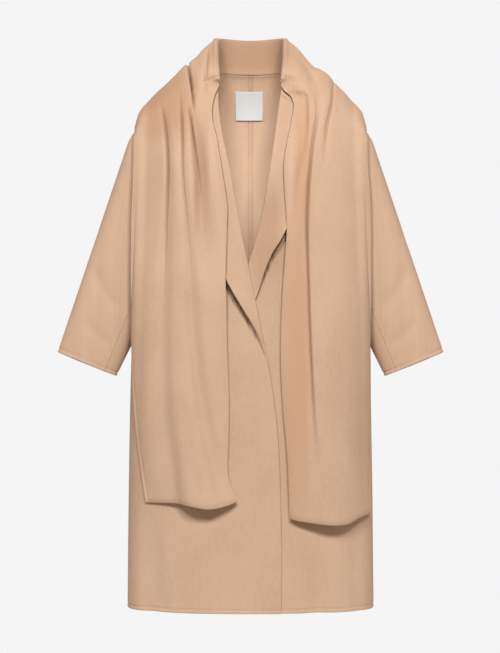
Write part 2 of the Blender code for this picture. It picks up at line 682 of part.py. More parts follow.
def make_material(name):
    colour, roughness = MATERIALS[name]
    material = bpy.data.materials.new(name)
    material.use_nodes = True
    shader = material.node_tree.nodes["Principled BSDF"]
    shader.inputs["Base Color"].default_value = colour
    shader.inputs["Roughness"].default_value = roughness
    return material


def facing_front(grid):
    return np.array([0.0, -1.0, 0.0])


def facing_back(grid):
    return np.array([0.0, 1.0, 0.0])


def away_from_middle(grid):
    return grid - np.mean(grid, axis=1, keepdims=True)


def neck_outside(grid):
    """Up over the fold: the stand faces the neck and the fall faces away from it."""
    facing = np.zeros_like(grid)
    facing[:, grid.shape[1] // 2:, :2] = grid[:, grid.shape[1] // 2:, :2]
    return facing


def build():
    for item in list(bpy.data.objects):
        bpy.data.objects.remove(item, do_unlink=True)
    collection = bpy.data.collections.new(COLLECTION_NAME)
    bpy.context.scene.collection.children.link(collection)
    wool = make_material("camel_wool")
    tape = make_material("label_tape")

    for side, word in ((RIGHT, "right"), (LEFT, "left")):
        def inside_armhole(points, side=side):
            keep_inside_armhole(points, side)

        def outside_armhole(points, side=side):
            keep_outside_armhole(points, side)

        def own_side(points, side=side):
            keep_side(points, side)

        wall("back_" + word, back_grid(side), facing_back, wool, collection,
             (keep_back, inside_armhole, own_side, keep_below_neck))
        wall("front_" + word, front_grid(side), facing_front, wool, collection, (keep_front, inside_armhole))
        wall("lapel_" + word, lapel_grid(side), facing_front, wool, collection, (keep_front,))
        upper_end = ARMHOLE_STEPS - UNDER_SLEEVE_STEPS
        upper = sleeve_grid(side, sleeve_angles(-upper_end, upper_end))
        wall("sleeve_upper_" + word, upper, away_from_middle, wool, collection, (outside_armhole,), trim=1)
        under = sleeve_grid(side, sleeve_angles(upper_end, ARMHOLE_STEPS + UNDER_SLEEVE_STEPS))
        wall("sleeve_under_" + word, under, away_from_middle, wool, collection, (outside_armhole,), trim=1)
        wall("scarf_end_" + word, scarf_end_grid(side), facing_front, wool, collection, (keep_front,))

    wall("scarf_neck", scarf_neck_grid(), neck_outside, wool, collection, (keep_back, keep_above_neck))
    wall("neck_label", label_grid(), facing_back, tape, collection, (), LABEL_CLOTH)


build()
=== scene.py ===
"""Looks of a camel wool coat with batwing sleeves and a wide scarf sewn on as its collar.

Metres, +Z up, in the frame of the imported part: the front faces -Y and +X is the wearer's left.
Side -1 is the wearer's right and side +1 the wearer's left; a "reach" is a distance from the middle plane.
"""
import math
from collections import namedtuple

import bpy
import numpy as np
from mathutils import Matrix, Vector


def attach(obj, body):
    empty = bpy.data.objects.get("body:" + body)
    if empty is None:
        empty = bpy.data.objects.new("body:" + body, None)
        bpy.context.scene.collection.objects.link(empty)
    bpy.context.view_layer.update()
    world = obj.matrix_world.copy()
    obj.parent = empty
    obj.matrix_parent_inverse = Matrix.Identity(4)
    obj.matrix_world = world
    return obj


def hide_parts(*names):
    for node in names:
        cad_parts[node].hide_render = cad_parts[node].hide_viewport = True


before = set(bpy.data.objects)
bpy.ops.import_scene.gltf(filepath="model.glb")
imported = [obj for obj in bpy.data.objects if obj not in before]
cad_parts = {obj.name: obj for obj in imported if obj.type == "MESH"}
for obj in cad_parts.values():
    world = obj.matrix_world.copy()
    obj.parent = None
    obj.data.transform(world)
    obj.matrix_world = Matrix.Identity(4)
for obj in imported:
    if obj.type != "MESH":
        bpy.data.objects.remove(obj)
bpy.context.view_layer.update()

RIGHT, LEFT = -1, 1
WORDS = {RIGHT: "right", LEFT: "left"}
UPWARD = np.array([0.0, 0.0, 1.0])
BACKWARD = np.array([0.0, 1.0, 0.0])
TINY = 1e-12

# Cloth and seams
CLOTH = 0.0024
LABEL_CLOTH = 0.001
SEAM_GAP = 0.0003

# Neck and shoulders
NECK_REACH = 0.068
NECK_POINT_HEIGHT = 0.025
NECK_LEVEL_POWER = 24
NECK_BACK_DEPTH = 0.07
NECK_BACK_HEIGHT = 0.043
NECK_BLEND = 0.06
NECK_SOFT_REACH = 0.085
NECK_SQUARENESS = 2.7
SHOULDER_REACH = 0.234
SHOULDER_HEIGHT = -0.066
SHOULDER_BEND = 1.15
NECK_ROUNDING = {"front": 0.25, "back": 0.2}
SHOULDER_ROUNDING = 0.11
ROUNDING_POWER = 0.65

# Body below the shoulders
HEM_HEIGHT = -1.079
UNDERARM_HEIGHT = -0.53
ARMHOLE_MIDDLE = (SHOULDER_HEIGHT + UNDERARM_HEIGHT) / 2
ARMHOLE_HALF = (SHOULDER_HEIGHT - UNDERARM_HEIGHT) / 2
ARMHOLE_DEPTH = 0.05
ARMHOLE_SQUARENESS = 2.2
ARM_REACH_POWER = 12
ARM_SOFT_RISE = 0.3
ARM_SOFT_FALL = 0.07
BODY_SQUARENESS = 2.5
DRAPE_POWER = 1.2
DRAPE_START = -0.64
DRAPE_FULL = -0.16
FRONT_LAP = 0.007
LAP_FULL_REACH = 0.075
LAP_END_REACH = 0.17
LAP_TOP_FADE = 0.1
LAP_LOW_SHARE = 0.65
LAP_LOW_START, LAP_LOW_FALL = -0.54, 0.08
LAPEL_SPACE = 0.0008
LAPEL_CURL = 1.5
LAPEL_TOP_SLANT = 0.024
ROLL_FADE = 0.05
CREASE_START_FADE, CREASE_END_FADE = 0.35, 0.25

# Sleeves
CUFF_OUTER_REACH, CUFF_OUTER_HEIGHT = 0.404, -0.546
CUFF_INNER_REACH, CUFF_INNER_HEIGHT = 0.281, -0.596
CUFF_HALF_DEPTH = 0.027
CUFF_FORWARD = 0.01
CUFF_SQUARENESS = 2.3
SLEEVE_FULLNESS = 0.0095
FULLNESS_START = 0.09
UNDER_SLEEVE_SHARE = 4 / 14
SLEEVE_GIRTH = 2.5
SLEEVE_TURN = 0.03

# Scarf
FOLD_REACH = 0.0735
FOLD_BACK_DEPTH = 0.075
FOLD_HEIGHT = 0.113
FOLD_BACK_RISE = 0.0108
FOLD_SAG = 0.0056
FOLD_RADIUS = 0.0055
FALL_EDGE_REACH = 0.243
FALL_EDGE_HEIGHT = -0.072
FALL_EDGE_BACK_DROP = 0.042
FALL_CLEARANCE = 0.014
SCARF_NECK_ROUNDING = 0.33
SCARF_ROUNDING_POWER = 1.0
SCARF_ARM_TOP, SCARF_ARM_FALL = 0.02, 0.22
SCARF_ARM_END, SCARF_ARM_RISE = -0.64, 0.25
SCARF_TOP_ROUNDING = 0.05
SCARF_CLEARANCE = 0.0045
LAPEL_ROOM = 0.0042
ROOM_SLOPE_LIMIT = 2.0
LEAST_ROOM = 0.0002
LAPEL_ROOM_LOW, LAPEL_ROOM_REACH, LAPEL_ROOM_FADE = -0.46, 0.15, 0.04
SIDE_PUSH = 0.008
SIDE_PUSH_START = 0.9
SCARF_SEATED_SHARE = 0.12
TOP_LINE_FADE = 4
EDGE_TURN_RATE = 4
NECK_SEAM_SPACE = 0.0003
FOLD_BEHIND = 0.6
SLIT_WIDTH = 0.0024
SLIT_SLANT = 0.35
SLIT_GATHER_WIDTH = 0.005
SLIT_GATHER = 1.5
# Painted shadow along the scarf's slits: the slit depth that makes it full, and its width
SLIT_FOR_FULL_SHADE = 0.01
SLIT_SHADE_WIDTH = 0.0021
NECK_CLOSE_TOP, NECK_CLOSE_FALL = 0.035, 0.035
NECK_CLOSE_REACH = 0.05

# Label inside the back neck
LABEL_WIDTH = 0.0605
LABEL_HEIGHT = 0.061
LABEL_TOP = 0.0105
LABEL_CENTRE = -0.003
LABEL_SPACE = 0.001
LABEL_LIFT = 0.0022

# Finished edges: a shallow line where the two faces of the cloth are turned in and sewn
EDGE_LINE_INSET = 0.0078
EDGE_LINE_WIDTH = 0.0016
EDGE_LINE_DEPTH = 0.0013
EDGE_OFFSETS = np.array([0.0, 0.0016, 0.004, 0.0062, 0.0078, 0.0094, 0.0118])
BACK_SEAM_LINE = 0.0043
BACK_SEAM_WIDTH = 0.0012
BACK_SEAM_DEPTH = 0.0014
# Painted shade along the twin lines beside the centre back seam
BACK_SEAM_SHADE = 0.3
SEAM_RIM = 0.12
EDGE_LINE_FADE = 0.04

# Mesh steps
PANEL_STEP = 0.0065
FRONT_STEP = 0.0034
SCARF_COLUMNS = 172
SCARF_ROWS = 114
SCARF_ROW_POWER = 1.35
HOOK_ROWS = 0.18
HOOK_SHARE, HOOK_SPREAD = 0.12, 0.035
NECK_ROWS = 44
STAND_SHARES = np.linspace(0, 1, 15)[None, :-1, None]
STAND_FRONT_ROWS = 18
STAND_FRONT_DROP = 0.005
CROWN_SAMPLES = 24
SECTION_SAMPLES = 420
ROLL_STEPS = 8
LABEL_POINTS = 25
SLOPE_STEP = 0.0005
SOFT_CHANGE = 0.003

# Columns of the tables below that aren't lengths
PLAIN_COLUMNS = ("across", "turn", "spread", "deeper", "shade")


def table(columns, *rows):
    """Rows with named columns, their lengths written in millimetres and kept in metres."""
    make_row = namedtuple("Row", columns)
    scales = [1 if name in PLAIN_COLUMNS else 1000 for name in make_row._fields]
    return [make_row(*(value / scale for value, scale in zip(row, scales))) for row in rows]


def tables(columns, keyed_rows):
    """Tables with the same columns, each under its key."""
    return {key: table(columns, *rows) for key, rows in keyed_rows.items()}


BODY_SECTIONS = table(
    "height half_width front_depth back_depth",
    (-1079, 258, 120, 114),
    (-800, 255, 117, 110),
    (-530, 249, 119, 108),
    (-400, 243, 122, 112),
    (-200, 236, 121, 114),
    (-66, 234, 112, 104),
)

# Soft hanging folds in the skirt, deepest at the hem
HEM_FOLDS = tables("reach width depth top_height", {
    ("front", LEFT): ((136, 22, 10, -820),),
    ("front", RIGHT): ((205, 20, 9, -780),),
    ("back", LEFT): ((120, 30, 12, -620),),
    ("back", RIGHT): ((150, 28, 11, -680),),
})

# Folded edge of each front, up to the neck point
FRONT_EDGES = tables("height reach", {
    RIGHT: (
        (-1079, -63), (-930, -63), (-685, -53), (-594, -41), (-490, -20), (-371, 4), (-300, 19),
        (-230, 32), (-157, 45), (-100, 57), (-56, 64), (25, 68),
    ),
    LEFT: (
        (-1079, -63), (-930, -63), (-685, -53), (-594, -43), (-490, -28), (-371, -6), (-318, 9),
        (-251, 25), (-156, 41), (-60, 55), (-8, 62), (25, 68),
    ),
})

# Turned-back lapels: width from the folded edge, and how far the free edge stands off
LAPELS = tables("height width lift", {
    RIGHT: (
        (-575, 3, 0), (-545, 4, 1), (-518, 7, 4), (-455, 29, 12), (-430, 39, 14), (-402, 49, 12),
        (-350, 60, 5), (-300, 66, 2), (-150, 62, 1), (16, 30, 0.5),
    ),
    LEFT: (
        (-500, 12, 0), (-438, 30, 2), (-349, 41, 10), (-305, 51, 16), (-280, 57, 12), (-230, 58, 4),
        (-150, 48, 1), (-60, 41, 0.5), (16, 28, 0.5),
    ),
})

# Scarf ends: reach of both edges, how far the cloth stands off the coat, and how its inner edge rolls back
SCARF_SECTION = "height inner_reach outer_reach inner_off middle_off outer_off roll roll_width"
SCARF_SECTIONS = tables(SCARF_SECTION, {
    RIGHT: (
        (-865, 20, 216, 12, 38, 4, 3, 20),
        (-800, 43, 226, 9, 37, 5, 2, 20),
        (-723, 44, 236, 8, 33, 6, 2, 20),
        (-650, 43, 243, 8, 30, 7, 2, 20),
        (-565, 46, 247, 9, 28, 10, 3, 20),
        (-480, 48, 248, 12, 30, 12, 3, 18),
        (-400, 49, 248, 22, 32, 14, 3, 15),
        (-300, 47, 247, 14, 36, 16, 4, 18),
        (-256, 46, 246, 10, 40, 16, 5, 24),
        (-181, 56, 243, 11, 43, 14, 5, 28),
        (-105, 69, 243, 10, 42, 10, 4, 26),
        (-53, 79, 243, 10, 37, 10, 3, 22),
        (-10, 73, 243, 12, 29, 10, 3, 16),
        (12, 64, 243, 12, 26, 10, 3, 14),
        (35, 63, 243, 12, 23, 10, 3, 14),
        (117, 68, 243, 5, 8, 5, 0, 10),
    ),
    LEFT: (
        (-895, 79, 249, 13, 34, 12, 5, 30),
        (-747, 73, 250, 12, 36, 12, 4, 30),
        (-670, 66, 250, 11, 38, 12, 4, 30),
        (-580, 61, 250, 12, 40, 12, 4, 30),
        (-440, 63, 250, 13, 38, 12, 4, 30),
        (-345, 69, 249, 18, 38, 10, 5, 30),
        (-289, 72, 249, 23, 39, 10, 6, 30),
        (-217, 69, 247, 18, 38, 10, 7, 28),
        (-164, 67, 243, 14, 36, 10, 6, 26),
        (-115, 74, 243, 11, 35, 10, 5, 22),
        (-62, 85, 243, 10, 32, 10, 4, 20),
        (-25, 88, 243, 12, 29, 10, 3, 18),
        (-12, 82, 243, 12, 28, 10, 3, 16),
        (-2, 70, 243, 12, 27, 10, 3, 14),
        (10, 62, 243, 12, 26, 10, 3, 14),
        (35, 62, 243, 12, 22, 10, 3, 14),
        (117, 68, 243, 5, 8, 5, 0, 10),
    ),
})

# Height of the scarf's cut end, from 0 at its inner edge to 1 at its outer edge
SCARF_HEMS = tables("across height", {
    RIGHT: (
        (0, -849), (0.1, -855), (0.2, -860), (0.35, -863), (0.45, -860), (0.55, -857), (1, -855),
    ),
    LEFT: (
        (0, -885), (0.15, -890), (0.4, -896), (0.6, -898), (0.72, -896), (0.85, -886), (1, -879),
    ),
})

# Uneven line of the scarf over each shoulder, above a straight slope
SCARF_TOP_LINES = tables("across rise", {
    RIGHT: (
        (0, 0), (0.12, 5), (0.23, 5), (0.29, 10), (0.36, 13.5), (0.51, 15), (0.62, 17.5), (0.73, 21),
        (0.83, 21.5), (0.91, 21.5), (0.96, 16.5), (1, 0),
    ),
    LEFT: (
        (0, 0), (0.12, 6), (0.25, 4), (0.32, 4), (0.41, 13.8), (0.53, 21.4), (0.6, 19.5), (0.73, 21.3),
        (0.81, 20.5), (0.9, 21.5), (0.96, 17.5), (1, 0),
    ),
})

# Soft ripples round the scarf's fall over the back: turn from centre back toward the wearer's left
FALL_RIPPLES = table(
    "turn spread height", (-0.95, 0.22, 10), (-0.25, 0.25, 7), (0.45, 0.22, 9), (1.05, 0.2, 8))

# Folds of the scarf ends, going down: each line's place, its soft depth and width on either side,
# and the depth of the slit where the cloth goes under the fold's outer lip, which also sets the painted
# shadow along it
SCARF_FOLDS = tables("height reach depth inner_width outer_width slit", {
    (RIGHT, "side"): (
        (-30, 187, 0, 6, 5, 0), (-70, 179, 4, 8, 4, 4), (-134, 172, 5, 10, 4, 6),
        (-266, 174, 6, 13, 6, 4), (-398, 179, 8, 16, 12, 1), (-500, 184, 10, 19, 15, 0),
        (-601, 185, 12, 22, 18, 0), (-703, 180, 15, 25, 24, 0), (-784, 173, 19, 27, 32, 0),
        (-865, 168, 23, 29, 44, 0),
    ),
    (RIGHT, "middle"): (
        (0, 148, 0, 10, 6, 0), (-60, 142, 3, 8, 5, 4), (-200, 138, 4, 10, 6, 3),
        (-337, 126, 7, 13, 9, 1), (-530, 115, 10, 15, 12, 0), (-646, 99, 12, 16, 14, 0),
        (-753, 77, 11, 16, 16, 0), (-850, 55, 3, 16, 16, 0),
    ),
    (RIGHT, "inner"): (
        (-36, 127, 0, 10, 4, 0), (-70, 119, 12, 14, 5, 8), (-134, 111, 22, 18, 7, 6),
        (-195, 104, 26, 21, 10, 3), (-266, 101, 22, 24, 13, 0), (-337, 94, 14, 28, 18, 0),
        (-440, 80, 0, 26, 18, 0),
    ),
    (RIGHT, "shoulder"): (
        (120, 138, 2, 8, 3, 0), (55, 132, 3, 9, 3, 5), (32, 127, 6, 10, 3, 10),
        (-4, 120, 7, 10, 3, 9), (-30, 117, 3, 10, 3, 4), (-56, 114, 0, 10, 3, 0),
    ),
    (RIGHT, "neck"): (
        (92, 90, 0, 4, 5, 0), (70, 91, 3, 4, 5, 2), (30, 93, 5, 4, 5, 2), (-15, 85, 0, 5, 6, 0),
    ),
    (LEFT, "inner"): (
        (75, 100, 0, 12, 3, 0), (42, 125, 3, 14, 6, 0), (-33, 138, 5, 14, 5, 2),
        (-134, 125, 9, 18, 4, 4), (-195, 119, 12, 22, 3, 5), (-276, 115, 14, 26, 3, 5),
        (-435, 117, 14, 30, 3, 4), (-621, 124, 13, 32, 4, 3), (-697, 126, 12, 32, 7, 1),
        (-784, 126, 9, 28, 18, 0), (-900, 124, 6, 28, 26, 0),
    ),
    (LEFT, "neck"): (
        (10, 112, 0, 10, 7, 0), (-60, 111, 12, 13, 7, 2), (-150, 107, 12, 14, 7, 1),
        (-200, 98, 10, 13, 8, 0), (-320, 90, 0, 14, 10, 0),
    ),
    (LEFT, "side"): (
        (30, 176, 0, 6, 3, 0), (-10, 173, 3, 7, 3, 3), (-81, 157, 4, 8, 3, 3),
        (-170, 150, 0, 10, 4, 0),
    ),
})

# Creases of the coat: a line from one place to another in the X and Z of the frame; the shade column lays
# painted shadow under the lapels' free edges and painted shade along the left gorge seam
CREASES = tables("x z to_x to_z bow width depth shade", {
    "front_right": (
        (-190, -880, -175, -1120, 4, 16, 3, 0),
        (-60, -900, -70, -1120, 4, 22, 2, 0),
        (-73.5, -364, 23.5, -534, 0, 3.6, 3, 0.95),
    ),
    "lapel_right": (),
    "front_left": (
        (215, -900, 225, -1120, 4, 16, 3, 0),
        (83, -262, 12, -438, 4.5, 2.2, 2, 0.85),
        (86, -256, 50, -330, 0, 5.5, 3, 0.95),
    ),
    "lapel_left": ((45, -1, 92, -27, 0, 1.3, 0.8, 0.45),),
    "back_right": (
        (-235, -420, -120, -300, 12, 16, 4, 0),
        (-230, -520, -90, -460, 14, 18, 4, 0),
        (-80, -480, -70, -1120, 6, 30, 5, 0),
        (-200, -600, -210, -1120, 4, 22, 4, 0),
    ),
    "back_left": (
        (235, -400, 130, -270, 12, 16, 4, 0),
        (232, -510, 100, -430, 14, 18, 4, 0),
        (60, -560, 55, -1120, 6, 30, 4, 0),
        (190, -640, 205, -1120, 4, 22, 5, 0),
    ),
    "sleeve_front": (
        (262, -470, 330, -360, 10, 14, 3, 0),
        (275, -540, 350, -470, 8, 12, 2, 0),
    ),
    "sleeve_back": (
        (250, -400, 330, -280, 14, 16, 5, 0),
        (256, -480, 352, -380, 12, 14, 5, 0),
        (272, -540, 370, -480, 10, 12, 4, 0),
    ),
})

# Row for a piece's flat cut: the width and length it is cut from, its area, and how it is held; no piece is
# given one here
Cut = namedtuple("Cut", "width length area held")

# Camera, matched to the photograph
CAMERA_DISTANCE = 4.2
CAMERA_SIDE = -0.0012
CAMERA_HEIGHT = -0.4925
CAMERA_SENSOR = 36.0
FOCAL_PIXELS = 2000
IMAGE_LONG_SIDE = 653

# Studio
FLOOR_HEIGHT = -1.4
FLOOR_RADIUS = 1.15
FLOOR_SIDES = 96
FLOOR_COLOUR = (0.72, 0.72, 0.72, 1.0)
BACKDROP_COLOUR = (0.913, 0.913, 0.913, 1.0)
AMBIENT = 0.17
AMBIENT_COLOUR = (1.0, 0.53, 0.29, 1.0)
COAT_MIDDLE = (0.0, 0.0, -0.45)
Softbox = namedtuple("Softbox", "name place width height energy aim")
SOFTBOXES = (
    Softbox("left_key", (-0.75, -3.45, 1.8), 0.7, 0.8, 91, COAT_MIDDLE),
    Softbox("right_key", (0.75, -3.45, 1.8), 0.7, 0.8, 97, COAT_MIDDLE),
    Softbox("inside", (0.0, -0.05, -0.34), 0.05, 0.3, 0.15, (0.0, 0.09, -0.34)),
    Softbox("neck_left", (-0.075, -0.004, -0.12), 0.03, 0.2, 0.028, (-0.075, 0.09, -0.12)),
    Softbox("neck_right", (0.075, -0.004, -0.12), 0.03, 0.2, 0.028, (0.075, 0.09, -0.12)),
    Softbox("side_left", (-4.2, -0.6, 0.1), 1.2, 1.8, 22, COAT_MIDDLE),
    Softbox("side_right", (4.2, -0.6, 0.1), 1.2, 1.8, 22, COAT_MIDDLE),
    Softbox("back_light", (0.8, 3.6, 1.2), 1.8, 1.4, 110, COAT_MIDDLE),
)

# Patches of painted shade where the wool lies in shade, making it deeper and warmer or darker, in the X and Z
# of the front
SHADE_PATCHES = table(
    "x z half_x half_z behind deeper shade",
    (94, -580, 27, 300, 0, 0.75, 0),
    (108, -150, 18, 130, 0, 0.7, 0),
    (-100, -170, 15, 110, 0, 0.35, 0.22),
    (-170, -30, 55, 70, 20, 0.8, 0.11),
    (0, 85, 90, 42, 120, 0.5, 0.28),
    (32, -300, 34, 100, 0, 0.4, 0.2),
)
SHADE_PATCH_FADE = 0.03
SHADE_PATCH_SQUARENESS = 4

WOOL_COLOUR = (0.59, 0.41, 0.285, 1.0)
WOOL_LIGHT = (0.645, 0.455, 0.322, 1.0)
# Painted shade: a deeper, warmer camel where the wool lies in shade
WOOL_DEEP_SHADE = (0.54, 0.335, 0.205, 1.0)
WOOL_DARK = (0.51, 0.343, 0.232, 1.0)
# Painted shadow: dark brown laid into slits, creases, seams, under the lapels' free edges and on the shade
# patches
WOOL_PAINTED_SHADE = (0.18, 0.1, 0.055, 1.0)
SHEEN_TINT = (1.0, 0.88, 0.76, 1.0)
LABEL_COLOUR = (0.605, 0.647, 0.642, 1.0)
LABEL_THREAD_SHADE = 0.94

# Fineness of the wool's noise across and down the cloth, per metre
CLOUD_SCALE = (9.0, 5.0, 1.0)
MOTTLE_SCALE = (140.0, 70.0, 1.0)
FIBRE_SCALE = (1500.0, 330.0, 1.0)


def read(rows, column, key):
    """Smooth value of a column at a key of the table's first column."""
    keys = np.array([row[0] for row in rows])
    values = np.array([getattr(row, column) for row in rows])
    order = np.argsort(keys)
    keys, values = keys[order], values[order]
    slopes = np.gradient(values, keys)
    key = np.clip(key, keys[0], keys[-1])
    below = np.clip(np.searchsorted(keys, key) - 1, 0, len(keys) - 2)
    span = keys[below + 1] - keys[below]
    t = (key - keys[below]) / span
    start = values[below] * (1 + 2 * t) * (1 - t) ** 2 + slopes[below] * span * t * (1 - t) ** 2
    finish = values[below + 1] * t * t * (3 - 2 * t) + slopes[below + 1] * span * t * t * (t - 1)
    return start + finish


def between(first, last, share):
    """Value at a share of the way between two."""
    return first + (last - first) * share


def limited(t):
    """A share kept between 0 and 1."""
    return np.clip(t, 0.0, 1.0)


def ease(t):
    """Smooth step from 0 to 1."""
    t = limited(t)
    return t * t * (3 - 2 * t)


def hill(t):
    """Bell that is 1 in the middle."""
    return np.exp(-t ** 2)


def round_over(t, power=ROUNDING_POWER):
    """Rounded rise from 0 at an edge to 1 on the flat."""
    return np.sin(limited(t) * math.pi / 2) ** power


def arch(t, squareness):
    """Squared-off half ellipse over -1 to 1."""
    return np.maximum(1 - np.abs(np.clip(t, -1.0, 1.0)) ** squareness, 0.0) ** (1 / squareness)


def larger(first, second):
    """The larger of two values, with a soft change between them."""
    return (first + second + np.hypot(first - second, SOFT_CHANGE)) / 2


def through(first, middle, last, t):
    """Parabola through three values at t = 0, 0.5 and 1."""
    return first * (1 - t) * (1 - 2 * t) + middle * 4 * t * (1 - t) + last * t * (2 * t - 1)


def signed_power(value, power):
    """Power of a value's size, with the value's sign."""
    return np.sign(value) * np.abs(value) ** power


def unit(vectors):
    """Vectors of length 1 that point the same way."""
    return vectors / np.maximum(np.linalg.norm(vectors, axis=-1, keepdims=True), TINY)


def together(*values):
    """Values side by side along a new last axis."""
    return np.stack(np.broadcast_arrays(*values), axis=-1)


def half_width(height):
    """Reach of the side seam at a height."""
    return read(BODY_SECTIONS, "half_width", height)


def armhole_depth(height):
    """Half depth of the open armhole at a height."""
    return ARMHOLE_DEPTH * arch((height - ARMHOLE_MIDDLE) / ARMHOLE_HALF, ARMHOLE_SQUARENESS)


def along_shoulder(reach):
    """Share of the way from the neck point to the shoulder's end."""
    return limited((np.abs(reach) - NECK_REACH) / (SHOULDER_REACH - NECK_REACH))


def shoulder_height(reach):
    """Height of the shoulder seam, level inside the neck point."""
    return between(NECK_POINT_HEIGHT, SHOULDER_HEIGHT, along_shoulder(reach) ** SHOULDER_BEND)


def neck_height(reach):
    """Height of the neck seam, nearly level across the back."""
    drop = np.minimum(np.abs(reach) / NECK_REACH, 1.0) ** NECK_LEVEL_POWER
    return between(NECK_BACK_HEIGHT, NECK_POINT_HEIGHT, drop)


def top_height(face, reach):
    """Height of a face's upper edge."""
    if face == "front":
        return shoulder_height(reach)
    return np.where(np.abs(reach) < NECK_REACH, neck_height(reach), shoulder_height(reach))


def body_depth(face, side, reach, height, scarf_height=None):
    """Distance of the coat's outer face, or of the scarf over it, from the shoulder plane."""
    outward = limited(np.abs(reach) / half_width(height))
    draped = np.cos(outward * math.pi / 2) ** DRAPE_POWER
    weight = ease((height - DRAPE_START) / (DRAPE_FULL - DRAPE_START))
    share = between(arch(outward, BODY_SQUARENESS), draped, weight)
    if scarf_height is None:
        top, power, rounding = top_height(face, reach), ROUNDING_POWER, NECK_ROUNDING[face]
        inside = ease((height - UNDERARM_HEIGHT) / ARM_SOFT_RISE)
        inside = inside * ease((SHOULDER_HEIGHT - height) / ARM_SOFT_FALL)
        arm = armhole_depth(height) * between(outward ** ARM_REACH_POWER, 1.0, inside)
    else:
        top, power, rounding = scarf_height, SCARF_ROUNDING_POWER, SCARF_NECK_ROUNDING
        below_top = ease((SCARF_ARM_TOP - height) / SCARF_ARM_FALL)
        arm = ARMHOLE_DEPTH * below_top * ease((height - SCARF_ARM_END) / SCARF_ARM_RISE)
    top_depth = 0.0
    if face == "back":
        squared, softened = arch(reach / NECK_REACH, NECK_SQUARENESS), hill(reach / NECK_SOFT_REACH)
        top_depth = NECK_BACK_DEPTH * between(squared, softened, ease((top - height) / NECK_BLEND))
    rounded = between(rounding, SHOULDER_ROUNDING, along_shoulder(reach))
    full = read(BODY_SECTIONS, face + "_depth", height)
    core = between(top_depth, full, round_over((top - height) / rounded, power))
    depth = between(arm, core, share)
    for fold in HEM_FOLDS[face, side]:
        fade = ease((fold.top_height - height) / (fold.top_height - HEM_HEIGHT))
        depth = depth - fold.depth * fade * hill((reach - fold.reach) / fold.width)
    return depth


def body_slopes(face, side, reach, height):
    """Change of depth outward and upward, and the length of the unscaled normal."""
    step = SLOPE_STEP
    outward = body_depth(face, side, reach + step, height) - body_depth(face, side, reach - step, height)
    upward = body_depth(face, side, reach, height + step) - body_depth(face, side, reach, height - step)
    slope_x, slope_z = outward / (2 * step), upward / (2 * step)
    return slope_x, slope_z, np.sqrt(1 + slope_x ** 2 + slope_z ** 2)


def body_point(face, side, reach, height, off=0.0):
    """Point on the coat's outer face, moved out along its normal."""
    depth = body_depth(face, side, reach, height)
    slope_x, slope_z, length = body_slopes(face, side, reach, height)
    forward = -1.0 if face == "front" else 1.0
    x = side * (reach - off * slope_x / length)
    y = forward * (depth + off / length)
    z = height - off * slope_z / length
    return together(x, y, z)


def lap_at(side, reach, height):
    """Extra height of the right front where it laps over the left one."""
    lap = FRONT_LAP if side == RIGHT else 0.0
    inward = 1 - ease((reach - LAP_FULL_REACH) / (LAP_END_REACH - LAP_FULL_REACH))
    below = (NECK_POINT_HEIGHT - height) / (NECK_POINT_HEIGHT - HEM_HEIGHT)
    low = ease((LAP_LOW_START - height) / LAP_LOW_FALL)
    return lap * inward * ease(below / LAP_TOP_FADE) * between(1.0, LAP_LOW_SHARE, low)


def spread(first, last, shares):
    """Shares of the half width, close together toward the side seam."""
    power = BODY_SQUARENESS / 2
    start, finish = (np.arcsin(signed_power(end, power)) for end in (first, last))
    return signed_power(np.sin(between(start, finish, shares)), 1 / power)


def edged_shares(length, step=PANEL_STEP):
    """Shares along a length of cloth, with close lines at both edges."""
    near = EDGE_OFFSETS / length
    even = np.linspace(0, 1, round(length / step) + 1)
    room = near[-1] + 0.5 * step / length
    even = even[(even > room) & (even < 1 - room)]
    return np.concatenate([near, even, 1 - near[::-1]])


def travelled(grid, axis):
    """Distance run along one axis of a grid."""
    steps = np.linalg.norm(np.diff(grid, axis=axis), axis=2)
    start = np.zeros_like(np.take(steps, [0], axis=axis))
    return np.concatenate([start, np.cumsum(steps, axis=axis)], axis=axis)


def turned_out(grid, facing):
    """Unit normals of a grid on the side that faces a given way."""
    normals = unit(np.cross(np.gradient(grid, axis=1), np.gradient(grid, axis=0)))
    return normals * (1.0 if np.sum(normals * facing) > 0 else -1.0)


def edge_lines(grid, *edges):
    """Depth of the sewn lines beside finished edges."""
    across, down = travelled(grid, 1), travelled(grid, 0)
    distances = {
        "first_column": across,
        "last_column": across[:, -1:] - across,
        "first_row": down,
        "last_row": down[-1:] - down,
    }
    lines = (hill((distances[edge] - EDGE_LINE_INSET) / EDGE_LINE_WIDTH) for edge in edges)
    return EDGE_LINE_DEPTH * sum(lines)


def crease_depth(grid, creases, column="depth"):
    """Depth of creases, or their painted shade, at the points of a grid."""
    x, z = grid[..., 0], grid[..., 2]
    depth = np.zeros(x.shape)
    for crease in creases:
        run = np.array([crease.to_x - crease.x, crease.to_z - crease.z])
        length = np.hypot(*run)
        along_x, along_z = run / length
        share = ((x - crease.x) * along_x + (z - crease.z) * along_z) / length
        beside = (x - crease.x) * along_z - (z - crease.z) * along_x
        beside = beside - through(0.0, crease.bow, 0.0, limited(share))
        fade = ease(share / CREASE_START_FADE) * ease((1 - share) / CREASE_END_FADE)
        depth = depth + getattr(crease, column) * fade * hill(beside / crease.width)
    return depth


def lapel_ends(side):
    """Lowest and highest place of a lapel."""
    heights = [row.height for row in LAPELS[side]]
    return min(heights), max(heights)


def fold_radius(side, height):
    """Radius of a front's folded edge, as thin as the cloth at the lapel's lower end."""
    lowest = lapel_ends(side)[0]
    return CLOTH / 2 + (CLOTH + LAPEL_SPACE) / 2 * ease((height - lowest) / ROLL_FADE)


